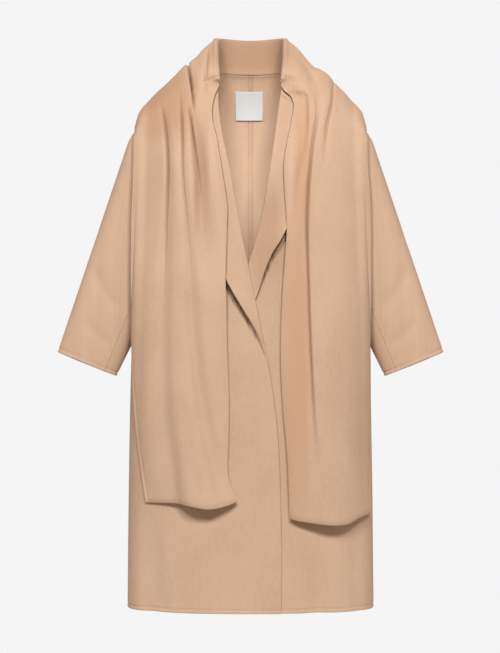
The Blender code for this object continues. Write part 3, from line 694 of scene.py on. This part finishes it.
def front_grids(side):
    """Inner face of a front, and the lapel that some of its rows turn into."""
    sections = LAPELS[side]
    lowest, highest = lapel_ends(side)
    rows = edged_shares(NECK_POINT_HEIGHT - HEM_HEIGHT, FRONT_STEP)[:, None]
    columns = edged_shares(SHOULDER_REACH, FRONT_STEP)[None, :]
    side_seam = half_width(between(SHOULDER_HEIGHT, HEM_HEIGHT, rows))
    nominal = between(NECK_POINT_HEIGHT, HEM_HEIGHT, rows)
    radius = fold_radius(side, nominal)
    edge = read(FRONT_EDGES[side], "reach", nominal)
    inset = np.where(nominal >= lowest, radius, 0.0)
    reach = side_seam * spread((edge + inset) / side_seam, 1.0, columns)
    height = between(shoulder_height(reach), HEM_HEIGHT, rows)
    front = body_point("front", side, reach, height, -CLOTH)
    front[..., 1] -= lap_at(side, reach, height)

    turned = np.flatnonzero((nominal[:, 0] >= lowest) & (nominal[:, 0] <= highest))
    bend_height, bend_radius, bend_edge = nominal[turned], radius[turned], edge[turned]
    bend = np.linspace(math.pi, 0, ROLL_STEPS + 1)[None, 1:]
    bend_reach = bend_edge + bend_radius * (1 - np.sin(bend))
    bend_off = bend_radius * (1 + np.cos(bend)) - CLOTH
    flat = edged_shares(max(row.width for row in sections), FRONT_STEP)[None, 1:]
    down = (bend_height[0] - bend_height) / (bend_height[0] - bend_height[-1])
    flat_height = bend_height - LAPEL_TOP_SLANT * flat * (1 - down)
    flat_radius = fold_radius(side, flat_height)
    flat_width = np.maximum(read(sections, "width", flat_height) - flat_radius, 0.0)
    flat_reach = read(FRONT_EDGES[side], "reach", flat_height) + flat_radius + flat_width * flat
    flat_off = 2 * flat_radius - CLOTH + read(sections, "lift", flat_height) * flat ** LAPEL_CURL
    height = np.hstack([bend_height + 0 * bend, flat_height])
    reach = np.hstack([bend_reach, flat_reach])
    lapel = body_point("front", side, reach, height, np.hstack([bend_off, flat_off]))
    lapel[..., 1] -= lap_at(side, reach, height)
    return front, lapel, turned


def back_grid(side):
    """Outer face of a back, from the centre seam to the side seam."""
    rows = edged_shares(NECK_POINT_HEIGHT - HEM_HEIGHT)[:, None]
    neck = NECK_REACH / SHOULDER_REACH
    columns = edged_shares(SHOULDER_REACH)
    inner = columns[columns < neck]
    outer = spread(neck, 1.0, np.linspace(0, 1, len(columns) - len(inner)))
    side_seam = half_width(between(SHOULDER_HEIGHT, HEM_HEIGHT, rows))
    reach = side_seam * np.concatenate([inner, outer])[None, :]
    return body_point("back", side, reach, between(top_height("back", reach), HEM_HEIGHT, rows))


def sleeve_grid(side, first_angle, last_angle):
    """Outer face of a sleeve; angle 0 is the top of the arm, a right angle its front."""
    girth = ARMHOLE_DEPTH * (last_angle - first_angle) * SLEEVE_GIRTH
    angles = between(first_angle, last_angle, edged_shares(girth))
    along = np.cos(angles)[None, :]
    front = np.where(np.sin(angles) >= 0, -1.0, 1.0)[None, :]
    armhole_height = ARMHOLE_MIDDLE + ARMHOLE_HALF * along
    armhole_reach = half_width(armhole_height)
    armhole_y = front * armhole_depth(armhole_height)
    under = (1 - along) / 2
    cuff_reach = between(CUFF_OUTER_REACH, CUFF_INNER_REACH, under)
    cuff_height = between(CUFF_OUTER_HEIGHT, CUFF_INNER_HEIGHT, under)
    cuff_y = front * CUFF_HALF_DEPTH * arch(along, CUFF_SQUARENESS) - CUFF_FORWARD
    length = np.hypot(cuff_reach - armhole_reach, cuff_height - armhole_height)
    down = edged_shares(SHOULDER_HEIGHT - CUFF_INNER_HEIGHT)[:, None]
    down = down + (1 - down) * SEAM_GAP / length
    fullness = SLEEVE_FULLNESS * ease(down / FULLNESS_START) * (1 - down) * (1 - under) ** 2
    x = side * (between(armhole_reach, cuff_reach, down) + fullness)
    y = between(armhole_y, cuff_y, down)
    z = between(armhole_height, cuff_height, down)
    return together(x, y, z)


def sleeve_creases(grid, side):
    """Depth of a sleeve's creases, front and back."""
    grid = grid * (side, 1, 1)
    forward = ease(0.5 - grid[..., 1] / SLEEVE_TURN)
    front, back = (crease_depth(grid, CREASES["sleeve_" + face]) for face in ("front", "back"))
    return between(back, front, forward)


def edged_columns(curves, gather, tuck, count):
    """Points along curves, close together in slits and at the last, finished edge, with the painted shadow of
    the slits.
    """
    rows, tucks = [], []
    for points, length, gathered, tucked in zip(curves, travelled(curves, 1), gather, tuck):
        near = length[-1] - EDGE_OFFSETS[::-1]
        run = length + gathered
        last = np.interp(near[0], length, run)
        wanted = np.linspace(0, last, count - len(near) + 1)[:-1]
        wanted = np.concatenate([np.interp(wanted, run, length), near])
        rows.append(np.stack([np.interp(wanted, length, points[:, axis]) for axis in range(3)], axis=1))
        tucks.append(np.interp(wanted, length, tucked))
    return np.array(rows), np.array(tucks)


def fold_moves(side, reach, height):
    """Depth of the scarf's folds, slant of their slits, gathered columns and the painted shadow along the
    slits.
    """
    soft, slits, gather, tuck = (0.0 * reach * height for item in range(4))
    for places in (rows for (end, name), rows in SCARF_FOLDS.items() if end == side):
        inner, outer, size, slit = (
            np.maximum(read(places, name, height), 0.0)
            for name in ("inner_width", "outer_width", "depth", "slit"))
        beside = reach - read(places, "reach", height)
        soft = soft + size * hill(beside / np.where(beside < 0, inner, outer))
        slits = slits + slit * hill(beside / SLIT_WIDTH)
        gather = gather + SLIT_GATHER * slit * hill(beside / SLIT_GATHER_WIDTH)
        # Painted shadow along the slit, full where the slit is deep
        tuck = tuck + np.minimum(slit / SLIT_FOR_FULL_SHADE, 1.0) * hill(beside / SLIT_SHADE_WIDTH)
    return np.stack([soft + slits, SLIT_SLANT * slits, gather, tuck])


def scarf_top(side, reach):
    """Height of the scarf over the shoulder, from its fold to its outer edge."""
    fall_start, fall_height = FOLD_REACH + FOLD_RADIUS, FOLD_HEIGHT - FOLD_RADIUS
    share = limited((reach - fall_start) / (FALL_EDGE_REACH - fall_start))
    crown = FOLD_RADIUS * arch((reach - FOLD_REACH) / FOLD_RADIUS, 2)
    sloped = between(fall_height, FALL_EDGE_HEIGHT, share)
    return sloped + crown + read(SCARF_TOP_LINES[side], "rise", share)


def scarf_section_reach():
    """Reaches across the scarf at the shoulder, close together over its fold."""
    crown = FOLD_REACH - FOLD_RADIUS * np.cos(np.linspace(0, math.pi, CROWN_SAMPLES))
    fall = np.linspace(FOLD_REACH + FOLD_RADIUS, FALL_EDGE_REACH, SECTION_SAMPLES)[1:]
    return np.concatenate([crown, fall])[None, :]


def scarf_rows():
    """Shares down a scarf end, close together at its top and at the hook of its inner edge."""
    share = np.linspace(0, 1, SECTION_SAMPLES * CROWN_SAMPLES)
    hook = np.cumsum(hill((share - HOOK_SHARE) / HOOK_SPREAD))
    run = between(share ** (1 / SCARF_ROW_POWER), hook / hook[-1], HOOK_ROWS)
    return np.interp(np.linspace(0, 1, SCARF_ROWS + 1)[1:, None], run, share)


def scarf_end_curves(side):
    """Smooth rows of a scarf end below the shoulder, and the moves of their folds."""
    seated = scarf_section_reach()
    neck_edge = seated[:, :1]
    across = (seated - neck_edge) / (seated[:, -1:] - neck_edge)
    rows = scarf_rows()
    top = scarf_top(side, seated)
    height = between(top, read(SCARF_HEMS[side], "height", across), rows)
    inner, outer, inner_off, middle_off, outer_off, roll, roll_width = (
        read(SCARF_SECTIONS[side], name, height) for name in SCARF_SECTION.split()[1:])
    hung = ease(rows / SCARF_SEATED_SHARE)
    reach = between(seated, between(inner, outer, across), hung)
    beside = reach - between(neck_edge, inner, hung)
    off = through(inner_off, middle_off, outer_off, across)
    off = off - roll * (1 - arch(1 - limited(beside / roll_width), 2))
    over_lapel = ease((height - LAPEL_ROOM_LOW) / LAPEL_ROOM_FADE)
    over_lapel = over_lapel * ease((LAPEL_ROOM_REACH - reach) / LAPEL_ROOM_FADE)
    slope = np.minimum(body_slopes("front", side, reach, height)[2], ROOM_SLOPE_LIMIT)
    room = (SCARF_CLEARANCE + LAPEL_ROOM * over_lapel) * slope
    off = np.maximum(off, room)
    outward = reach / half_width(height)
    off = off + SIDE_PUSH * ease((outward - SIDE_PUSH_START) / (1 - SIDE_PUSH_START))
    depth = body_depth("front", side, reach, height, top)
    close = ease((NECK_CLOSE_TOP - height) / NECK_CLOSE_FALL) * ease(1 - beside / NECK_CLOSE_REACH)
    coat = body_depth("front", side, reach, height) + lap_at(side, reach, height)
    depth = larger(between(depth, coat, close), coat)
    y = -(depth + off) * round_over(rows / SCARF_TOP_ROUNDING)
    curves = together(side * reach, y, height)
    moves = fold_moves(side, reach, height)
    limit = np.maximum(off - room, LEAST_ROOM) / slope
    moves[0] = limit * np.tanh(moves[0] / limit)
    return curves, moves


def scarf_neck_curves():
    """Smooth rows of the neck stretch from its fold down, their folds' moves, and its stand."""
    turn = np.linspace(math.pi / 2, -math.pi / 2, NECK_ROWS + 1)[:, None]
    sine, cosine = np.sin(turn), np.maximum(np.cos(turn), 0.0)
    behind = arch(sine, NECK_SQUARENESS)
    seam_height = neck_height(NECK_REACH * sine) + NECK_SEAM_SPACE
    seam = ((NECK_REACH - CLOTH) * sine, (NECK_BACK_DEPTH - CLOTH) * behind, seam_height)
    fold_height = FOLD_HEIGHT + FOLD_BACK_RISE * behind - FOLD_SAG * cosine ** 3
    fold = (FOLD_REACH * sine, FOLD_BACK_DEPTH * behind, fold_height)
    edge_height = FALL_EDGE_HEIGHT - FALL_EDGE_BACK_DROP * cosine
    edge_coat = body_point("back", LEFT, FALL_EDGE_REACH * np.abs(sine), edge_height, FALL_CLEARANCE)
    edge_y = edge_coat[..., 1] * np.minimum(cosine * EDGE_TURN_RATE, 1.0)
    edge = (FALL_EDGE_REACH * sine, edge_y, edge_height)
    seam, fold, edge = (np.hstack(place)[:, None, :] for place in (seam, fold, edge))
    turned = NECK_SQUARENESS - 1
    outward = np.hstack([signed_power(sine, turned), behind ** turned, 0 * turn])
    outward = unit(outward)[:, None, :]
    stand = between(seam, fold - FOLD_RADIUS * (outward + UPWARD), STAND_SHARES)
    bend = np.linspace(math.pi, 0, CROWN_SAMPLES)[None, :, None]
    crown = fold + FOLD_RADIUS * (np.cos(bend) * outward + (np.sin(bend) - 1) * UPWARD)
    share = np.linspace(0, 1, SECTION_SAMPLES)[None, 1:, None]
    fall = between(fold + FOLD_RADIUS * (outward - UPWARD), edge, share)
    across = share[..., 0]
    right_rise, left_rise = (read(SCARF_TOP_LINES[side], "rise", across) for side in WORDS)
    fall[..., 2] += np.where(turn < 0, right_rise, left_rise) * np.abs(sine) ** TOP_LINE_FADE
    ripple = sum(item.height * hill((turn - item.turn) / item.spread) for item in FALL_RIPPLES)
    fall += (ripple * across * cosine)[..., None] * outward
    seated = scarf_section_reach() + 0 * turn
    fade = ease(1 - (math.pi / 2 - np.abs(turn)) / FOLD_BEHIND)
    right_folds, left_folds = (fold_moves(side, seated, scarf_top(side, seated)) for side in WORDS)
    folds = np.where(turn < 0, right_folds, left_folds) * fade
    return np.hstack([crown, fall]), folds, stand


def scarf_facing(grid):
    """Way the scarf faces: forward along its ends, up over the neck."""
    facing = 0 * grid - BACKWARD
    facing[SCARF_ROWS:-SCARF_ROWS] = UPWARD
    return facing


def stand_front(edge, seam_end):
    """The stand carried forward from the neck seam's end to the inner edge of a scarf end."""
    share = np.linspace(0, 1, len(edge) + 1)[1:, None]
    foot = between(seam_end, edge[-1] - STAND_FRONT_DROP * UPWARD, share)
    return between(foot[:, None], edge[:, None], STAND_SHARES)


def numbered(grid):
    """Point numbers in the form of a grid."""
    return np.arange(grid.shape[0] * grid.shape[1]).reshape(grid.shape[:2])


def index_faces(index):
    """Four-cornered faces between neighbours in a grid of point numbers."""
    corners = (index[:-1, :-1], index[1:, :-1], index[1:, 1:], index[:-1, 1:])
    return np.stack([corner.ravel() for corner in corners], axis=1)


def in_one(*grids):
    """Values of several grids in one row."""
    return np.concatenate([np.ravel(values) for values in grids])


def with_strip(grid, strip, rows):
    """Points, faces and grain of a grid and of a strip along the start of some of its rows."""
    index = numbered(grid)
    joined = np.hstack([index.size + numbered(strip), index[rows, :1]])
    faces = np.concatenate([index_faces(index), index_faces(joined)])
    points = in_one(grid, strip).reshape(-1, 3)
    down, strip_across = travelled(grid, 0), travelled(strip, 1)
    grain = together(travelled(grid, 1), down)
    strip_grain = together(strip_across - strip_across[:, -1:], down[rows, :1])
    return points, faces, in_one(grain, strip_grain).reshape(-1, 2)


def scarf_piece(material):
    """The whole scarf: left end, neck stretch with its stand, right end."""
    left, left_folds = scarf_end_curves(LEFT)
    right, right_folds = scarf_end_curves(RIGHT)
    neck, neck_folds, stand = scarf_neck_curves()
    curves = np.concatenate([left[::-1], neck, right])
    depth, slant, gather, tuck = np.hstack([left_folds[:, ::-1], neck_folds, right_folds])
    along = np.gradient(curves, axis=1)
    gather = np.cumsum(gather * np.linalg.norm(along, axis=2), axis=1) / SLIT_GATHER_WIDTH
    normals = turned_out(curves, scarf_facing(curves))
    curves = curves - normals * depth[..., None] + unit(along) * slant[..., None]
    grid, tuck = edged_columns(curves, gather, tuck, SCARF_COLUMNS + 1)
    neck_rows = slice(SCARF_ROWS - STAND_FRONT_ROWS, SCARF_ROWS + len(stand) + STAND_FRONT_ROWS)
    edge = grid[neck_rows, 0]
    left_front = stand_front(edge[:STAND_FRONT_ROWS][::-1], stand[0, 0])[::-1]
    right_front = stand_front(edge[-STAND_FRONT_ROWS:], stand[-1, 0])
    stand = np.concatenate([left_front, stand, right_front])
    none = np.zeros(stand.shape[:2])
    stand_rim = none + 1
    stand_rim[:, 0] = SEAM_RIM
    lines = edge_lines(grid, "first_row", "last_row", "last_column")
    return shell("wool_scarf", *with_strip(grid, stand, neck_rows), scarf_facing(grid), material,
                 rim=in_one(np.ones(grid.shape[:2]), stand_rim), outer_lines=in_one(lines, none),
                 tuck=in_one(tuck, none))


def front_piece(side, material):
    """A front and its lapel in one shell."""
    word = WORDS[side]
    front, lapel, turned = front_grids(side)
    front[..., 1] = np.minimum(front[..., 1], -SEAM_GAP / 2)
    lapel = lapel[:, ::-1]
    creases, lapel_creases = CREASES["front_" + word], CREASES["lapel_" + word]
    # Painted shadow under the lapel's free edge and painted shade along the gorge seam
    tuck = in_one(crease_depth(front, creases, "shade"), crease_depth(lapel, lapel_creases, "shade"))
    front = front + turned_out(front, BACKWARD) * crease_depth(front, creases)[..., None]
    lapel[..., 1] += crease_depth(lapel, lapel_creases)
    below_lapel = ease((lapel_ends(side)[0] + EDGE_LINE_FADE - front[..., 2]) / EDGE_LINE_FADE)
    hem_lines = edge_lines(front, "last_row") + edge_lines(front, "first_column") * below_lapel
    lapel_lines = edge_lines(lapel, "first_column")
    rim = np.ones(front.shape[:2])
    rim[0] = SEAM_RIM
    rim[:, -1] = SEAM_RIM
    return shell("wool_front_" + word, *with_strip(front, lapel, turned), BACKWARD + 0 * front, material,
                 rim=in_one(rim, np.ones(lapel.shape[:2])), outer_lines=in_one(0 * rim, lapel_lines),
                 inner_lines=in_one(hem_lines, 0 * lapel_lines), tuck=tuck)


def label_grid():
    """Neck side of the label, its lower edge standing off a little."""
    share = np.linspace(0, 1, LABEL_POINTS)
    x = LABEL_CENTRE + LABEL_WIDTH * (share[None, :] - 0.5)
    down = share[:, None]
    z = LABEL_TOP - LABEL_HEIGHT * down
    off = -(CLOTH + LABEL_SPACE + LABEL_CLOTH + LABEL_LIFT * down ** 3 + 0 * x)
    points = body_point("back", LEFT, np.abs(x) + 0 * z, z + 0 * x, off)
    points[..., 0] *= np.where(x < 0, -1.0, 1.0)
    return points


def vertex_normals(points, faces):
    """Unit normals of points, averaged over the faces that meet there."""
    first, second, third, fourth = (points[faces[:, corner]] for corner in range(4))
    face_normals = np.cross(third - first, fourth - second)
    normals = np.zeros_like(points)
    for corner in range(4):
        np.add.at(normals, faces[:, corner], face_normals)
    return unit(normals)


def open_edges(faces):
    """Edges that only one face has, in that face's order."""
    edges = np.concatenate([faces[:, [corner, (corner + 1) % 4]] for corner in range(4)])
    ordered = np.sort(edges, axis=1)
    keys = ordered[:, 0] * (faces.max() + 1) + ordered[:, 1]
    places, counts = np.unique(keys, return_index=True, return_counts=True)[1:]
    return edges[places[counts == 1]]


def painted_shade_patches(points, column):
    """Painted shade at each point, from the patches where the wool lies in shade."""
    x, y, z = points.T
    lie = np.zeros(len(points))
    for patch in SHADE_PATCHES:
        across, down = (x - patch.x) / patch.half_x, (z - patch.z) / patch.half_z
        beside = across ** SHADE_PATCH_SQUARENESS + down ** SHADE_PATCH_SQUARENESS
        lie += getattr(patch, column) * np.exp(-beside) * ease((patch.behind - y) / SHADE_PATCH_FADE)
    return limited(lie)


def add_attribute(mesh, name, values):
    """Values at a mesh's points, for its material to read."""
    kind, field = ("FLOAT", "value") if values.ndim == 1 else ("FLOAT_VECTOR", "vector")
    layer = mesh.attributes.new(name, kind, "POINT")
    layer.data.foreach_set(field, values.astype(np.float32).ravel())


def shell(name, points, faces, grain, facing, material, thickness=CLOTH,
          rim=1.0, outer_lines=0.0, inner_lines=0.0, tuck=0.0):
    """Closed cloth wall on an outer face; its rims are round, or nearly square where "rim" is small."""
    count = len(points)
    normals = vertex_normals(points, faces)
    if np.sum(normals[:facing.size // 3] * facing.reshape(-1, 3)) < 0:
        faces, normals = faces[:, ::-1], -normals
    rim, outer_lines, inner_lines, tuck = (
        values + np.zeros(count) for values in (rim, outer_lines, inner_lines, tuck))
    outer = points - normals * outer_lines[:, None]
    inner = points - normals * (thickness - inner_lines)[:, None]
    edges = open_edges(faces)
    first, second = edges.T
    border = np.unique(edges)
    away = np.zeros_like(points)
    along = points[second] - points[first]
    for end in (first, second):
        np.add.at(away, end, np.cross(along, normals[end]))
    inset = unit(away[border]) * (thickness / 2 * rim[border])[:, None]
    middle = (outer[border] + inner[border]) / 2
    outer[border] -= inset
    inner[border] -= inset
    number = np.full(count, -1)
    number[border] = 2 * count + np.arange(len(border))
    outer_rim = np.stack([second, first, number[first], number[second]], axis=1)
    inner_rim = np.stack([number[second], number[first], first + count, second + count], axis=1)
    all_faces = np.concatenate([faces, faces[:, ::-1] + count, outer_rim, inner_rim])
    all_points = np.concatenate([outer, inner, middle])
    grain = np.column_stack([grain, np.zeros(count)])
    all_grain, all_tuck = (np.concatenate([values, values, values[border]]) for values in (grain, tuck))
    mesh = bpy.data.meshes.new(name)
    mesh.from_pydata(all_points.tolist(), [], all_faces.tolist())
    mesh.polygons.foreach_set("use_smooth", np.ones(len(all_faces), dtype=bool))
    add_attribute(mesh, "grain", all_grain)
    # Painted shade: how far the wool turns a deeper, warmer tone where it lies in shade
    add_attribute(mesh, "nap", painted_shade_patches(all_points, "deeper"))
    # Painted shadow for the material: slits, creases, seams, lapel edges and the shade patches
    add_attribute(mesh, "tuck", limited(all_tuck + painted_shade_patches(all_points, "shade")))
    mesh.materials.append(material)
    mesh.validate()
    piece = bpy.data.objects.new(name, mesh)
    bpy.context.scene.collection.objects.link(piece)
    return piece


def panel(name, grid, facing, material, sewn=True, depth=0.0, **finish):
    """Cloth shell of one creased grid; a sewn one has close seams and a finished lower edge."""
    facing = turned_out(grid, facing)
    grid = grid - facing * np.asarray(depth)[..., None]
    rim = np.ones(grid.shape[:2])
    if sewn:
        rim[0] = SEAM_RIM
        rim[:, [0, -1]] = SEAM_RIM
        finish["outer_lines"] = edge_lines(grid, "last_row").ravel()
    grain = together(travelled(grid, 1), travelled(grid, 0)).reshape(-1, 2)
    return shell(name, grid.reshape(-1, 3), index_faces(numbered(grid)), grain, facing, material,
                 rim=rim.ravel(), **finish)


def fill(tree, socket, value):
    """Give an input a value or join it to another node's output."""
    if isinstance(value, bpy.types.NodeSocket):
        tree.links.new(value, socket)
    else:
        socket.default_value = value


def node(tree, kind, **values):
    """Shader node with its named inputs and settings filled in."""
    made = tree.nodes.new(kind)
    for key, value in values.items():
        if key in made.inputs:
            fill(tree, made.inputs[key], value)
        else:
            setattr(made, key, value)
    return made


def attribute(tree, name, output):
    """Values that were put at the mesh's points."""
    return node(tree, "ShaderNodeAttribute", attribute_name=name).outputs[output]


def noise(tree, source, scale, detail):
    """Noise over the cloth's two directions, with its fineness per metre."""
    place = node(tree, "ShaderNodeMapping", Scale=scale, Vector=source).outputs["Vector"]
    texture = node(tree, "ShaderNodeTexNoise", Scale=1.0, Detail=detail, Roughness=0.6, Vector=place)
    return texture.outputs["Fac"]


def weighted_sum(tree, parts):
    """Sum of outputs, each times its weight."""
    total = 0.0
    for output, weight in parts:
        step = node(tree, "ShaderNodeMath", operation="MULTIPLY_ADD")
        for socket, value in zip(step.inputs, (output, weight, total)):
            fill(tree, socket, value)
        total = step.outputs[0]
    return total


def ramp(tree, source, *stops):
    """Colour that runs through stops."""
    made = node(tree, "ShaderNodeValToRGB", Fac=source)
    elements = made.color_ramp.elements
    elements[0].position, elements[0].color = stops[0]
    elements[1].position, elements[1].color = stops[-1]
    for position, colour in stops[1:-1]:
        elements.new(position).color = colour
    return made.outputs["Color"]


def mixed(tree, share, colour, other):
    """Colour that goes over into another."""
    mix = node(tree, "ShaderNodeMix", data_type="RGBA", blend_type="MIX", Factor=share)
    tree.links.new(colour, mix.inputs[6])
    mix.inputs[7].default_value = other
    return mix.outputs[2]


def new_material(name, inputs):
    """Material with the constant values of its shader filled in."""
    material = bpy.data.materials.new(name)
    material.use_nodes = True
    shader = material.node_tree.nodes["Principled BSDF"]
    for key, value in inputs.items():
        shader.inputs[key].default_value = value
    return material, material.node_tree, shader


def add_surface(tree, shader, colour, relief, strength, distance):
    """Join a colour and a relief to a shader."""
    bump = node(tree, "ShaderNodeBump", Strength=strength, Distance=distance, Height=relief)
    tree.links.new(colour, shader.inputs["Base Color"])
    tree.links.new(bump.outputs["Normal"], shader.inputs["Normal"])


def wool_material():
    """Brushed double-faced wool: mottled camel, short nap that runs down the cloth, soft sheen, and painted
    shade and shadow read from the mesh's points.
    """
    material, tree, shader = new_material("camel_wool_nap", {
        "Roughness": 0.92,
        "Specular IOR Level": 0.12,
        "Sheen Weight": 0.22,
        "Sheen Roughness": 0.45,
        "Sheen Tint": SHEEN_TINT,
    })
    grain = attribute(tree, "grain", "Vector")
    clouds = noise(tree, grain, CLOUD_SCALE, 3.0)
    mottle = noise(tree, grain, MOTTLE_SCALE, 3.0)
    fibres = noise(tree, grain, FIBRE_SCALE, 4.0)
    tone = weighted_sum(tree, ((clouds, 0.45), (mottle, 0.25), (fibres, 0.30)))
    colour = ramp(tree, tone, (0.30, WOOL_DARK), (0.50, WOOL_COLOUR), (0.70, WOOL_LIGHT))
    # Painted shade: toward a deeper, warmer camel on the shade patches
    colour = mixed(tree, attribute(tree, "nap", "Fac"), colour, WOOL_DEEP_SHADE)
    # Painted shadow: toward dark brown in slits, creases, seams, under the lapels' edges and on the shade
    # patches
    colour = mixed(tree, attribute(tree, "tuck", "Fac"), colour, WOOL_PAINTED_SHADE)
    nap = weighted_sum(tree, ((fibres, 0.7), (mottle, 0.3)))
    add_surface(tree, shader, colour, nap, strength=0.30, distance=0.0006)
    return material


def label_material():
    """Blank woven tape: fine crossing threads, a little satin gloss."""
    material, tree, shader = new_material("label_tape_weave", {"Roughness": 0.55, "Specular IOR Level": 0.30})
    grain = attribute(tree, "grain", "Vector")
    threads = [
        node(tree, "ShaderNodeTexWave", bands_direction=way, Scale=420.0, Distortion=0.4, Vector=grain)
        for way in ("X", "Y")]
    weave = weighted_sum(tree, [(thread.outputs["Fac"], 0.5) for thread in threads])
    shaded = tuple(value * LABEL_THREAD_SHADE for value in LABEL_COLOUR[:3]) + (1.0,)
    colour = ramp(tree, weave, (0.0, shaded), (1.0, LABEL_COLOUR))
    add_surface(tree, shader, colour, weave, strength=0.25, distance=0.0002)
    return material


def add_piece(piece, nodes):
    """Ride a piece on the part and hide the solids of the nodes it stands for."""
    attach(piece, "root")
    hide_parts(*nodes)


def make_coat(wool, tape):
    """All pieces of the coat, each on the form of its solid."""
    seam_turn = math.pi * (1 - UNDER_SLEEVE_SHARE)
    seam_inset = SEAM_GAP / (CUFF_OUTER_REACH - CUFF_INNER_REACH)
    sleeve_turns = {"upper": (-seam_turn, seam_turn), "under": (seam_turn, 2 * math.pi - seam_turn)}
    for side, word in WORDS.items():
        back = back_grid(side)
        back[..., 1] = np.maximum(back[..., 1], SEAM_GAP / 2)
        seam_lines = hill((travelled(back, 1) - BACK_SEAM_LINE) / BACK_SEAM_WIDTH).ravel()
        creases = crease_depth(back, CREASES["back_" + word])
        # Painted shade along the twin lines of the back seam
        piece = panel("wool_back_" + word, back, BACKWARD, wool, depth=creases,
                      inner_lines=BACK_SEAM_DEPTH * seam_lines, tuck=BACK_SEAM_SHADE * seam_lines)
        add_piece(piece, ["back_" + word])
        front_nodes = ["front_" + word, "lapel_" + word]
        add_piece(front_piece(side, wool), front_nodes)
        for part, (first, last) in sleeve_turns.items():
            sleeve = sleeve_grid(side, first + seam_inset, last - seam_inset)
            facing = sleeve - np.mean(sleeve, axis=1, keepdims=True)
            creases = sleeve_creases(sleeve, side)
            piece = panel(f"wool_sleeve_{part}_{word}", sleeve, facing, wool, depth=creases)
            add_piece(piece, [f"sleeve_{part}_{word}"])
    scarf_nodes = ["scarf_neck", "scarf_end_right", "scarf_end_left"]
    add_piece(scarf_piece(wool), scarf_nodes)
    label = panel("tape_label", label_grid(), -BACKWARD, tape, sewn=False, thickness=LABEL_CLOTH)
    add_piece(label, ["neck_label"])


def make_stage():
    """Pale floor, plain backdrop and soft studio light."""
    bpy.ops.mesh.primitive_circle_add(
        vertices=FLOOR_SIDES, radius=FLOOR_RADIUS, fill_type="NGON", location=(0, 0, FLOOR_HEIGHT))
    floor = bpy.context.object
    floor.name = "floor"
    paint = new_material("floor_paint", {"Base Color": FLOOR_COLOUR, "Roughness": 0.8})[0]
    floor.data.materials.append(paint)

    scene = bpy.context.scene
    scene.world = bpy.data.worlds.new("studio")
    scene.world.use_nodes = True
    tree = scene.world.node_tree
    tree.nodes.clear()
    backdrop = node(tree, "ShaderNodeBackground", Color=BACKDROP_COLOUR, Strength=1.0)
    ambient = node(tree, "ShaderNodeBackground", Color=AMBIENT_COLOUR, Strength=AMBIENT)
    seen = node(tree, "ShaderNodeLightPath").outputs["Is Camera Ray"]
    mix = node(tree, "ShaderNodeMixShader", Fac=seen)
    tree.links.new(ambient.outputs[0], mix.inputs[1])
    tree.links.new(backdrop.outputs[0], mix.inputs[2])
    node(tree, "ShaderNodeOutputWorld", Surface=mix.outputs[0])
    for box in SOFTBOXES:
        lamp = bpy.data.lights.new(box.name, "AREA")
        lamp.shape = "RECTANGLE"
        lamp.size = box.width
        lamp.size_y = box.height
        lamp.energy = box.energy
        item = bpy.data.objects.new(box.name, lamp)
        item.location = box.place
        item.visible_camera = False
        item.rotation_euler = (Vector(box.aim) - Vector(box.place)).to_track_quat("-Z", "Y").to_euler()
        scene.collection.objects.link(item)
    scene.view_settings.view_transform = "Standard"


def make_camera():
    """Camera at the photograph's distance and height."""
    camera = bpy.data.cameras.new("camera")
    camera.sensor_width = CAMERA_SENSOR
    camera.lens = CAMERA_SENSOR * FOCAL_PIXELS / IMAGE_LONG_SIDE
    item = bpy.data.objects.new("camera", camera)
    item.location = (CAMERA_SIDE, -CAMERA_DISTANCE, CAMERA_HEIGHT)
    item.rotation_euler = (math.pi / 2, 0.0, 0.0)
    bpy.context.scene.collection.objects.link(item)
    bpy.context.scene.camera = item


make_camera()
make_stage()
make_coat(wool_material(), label_material())
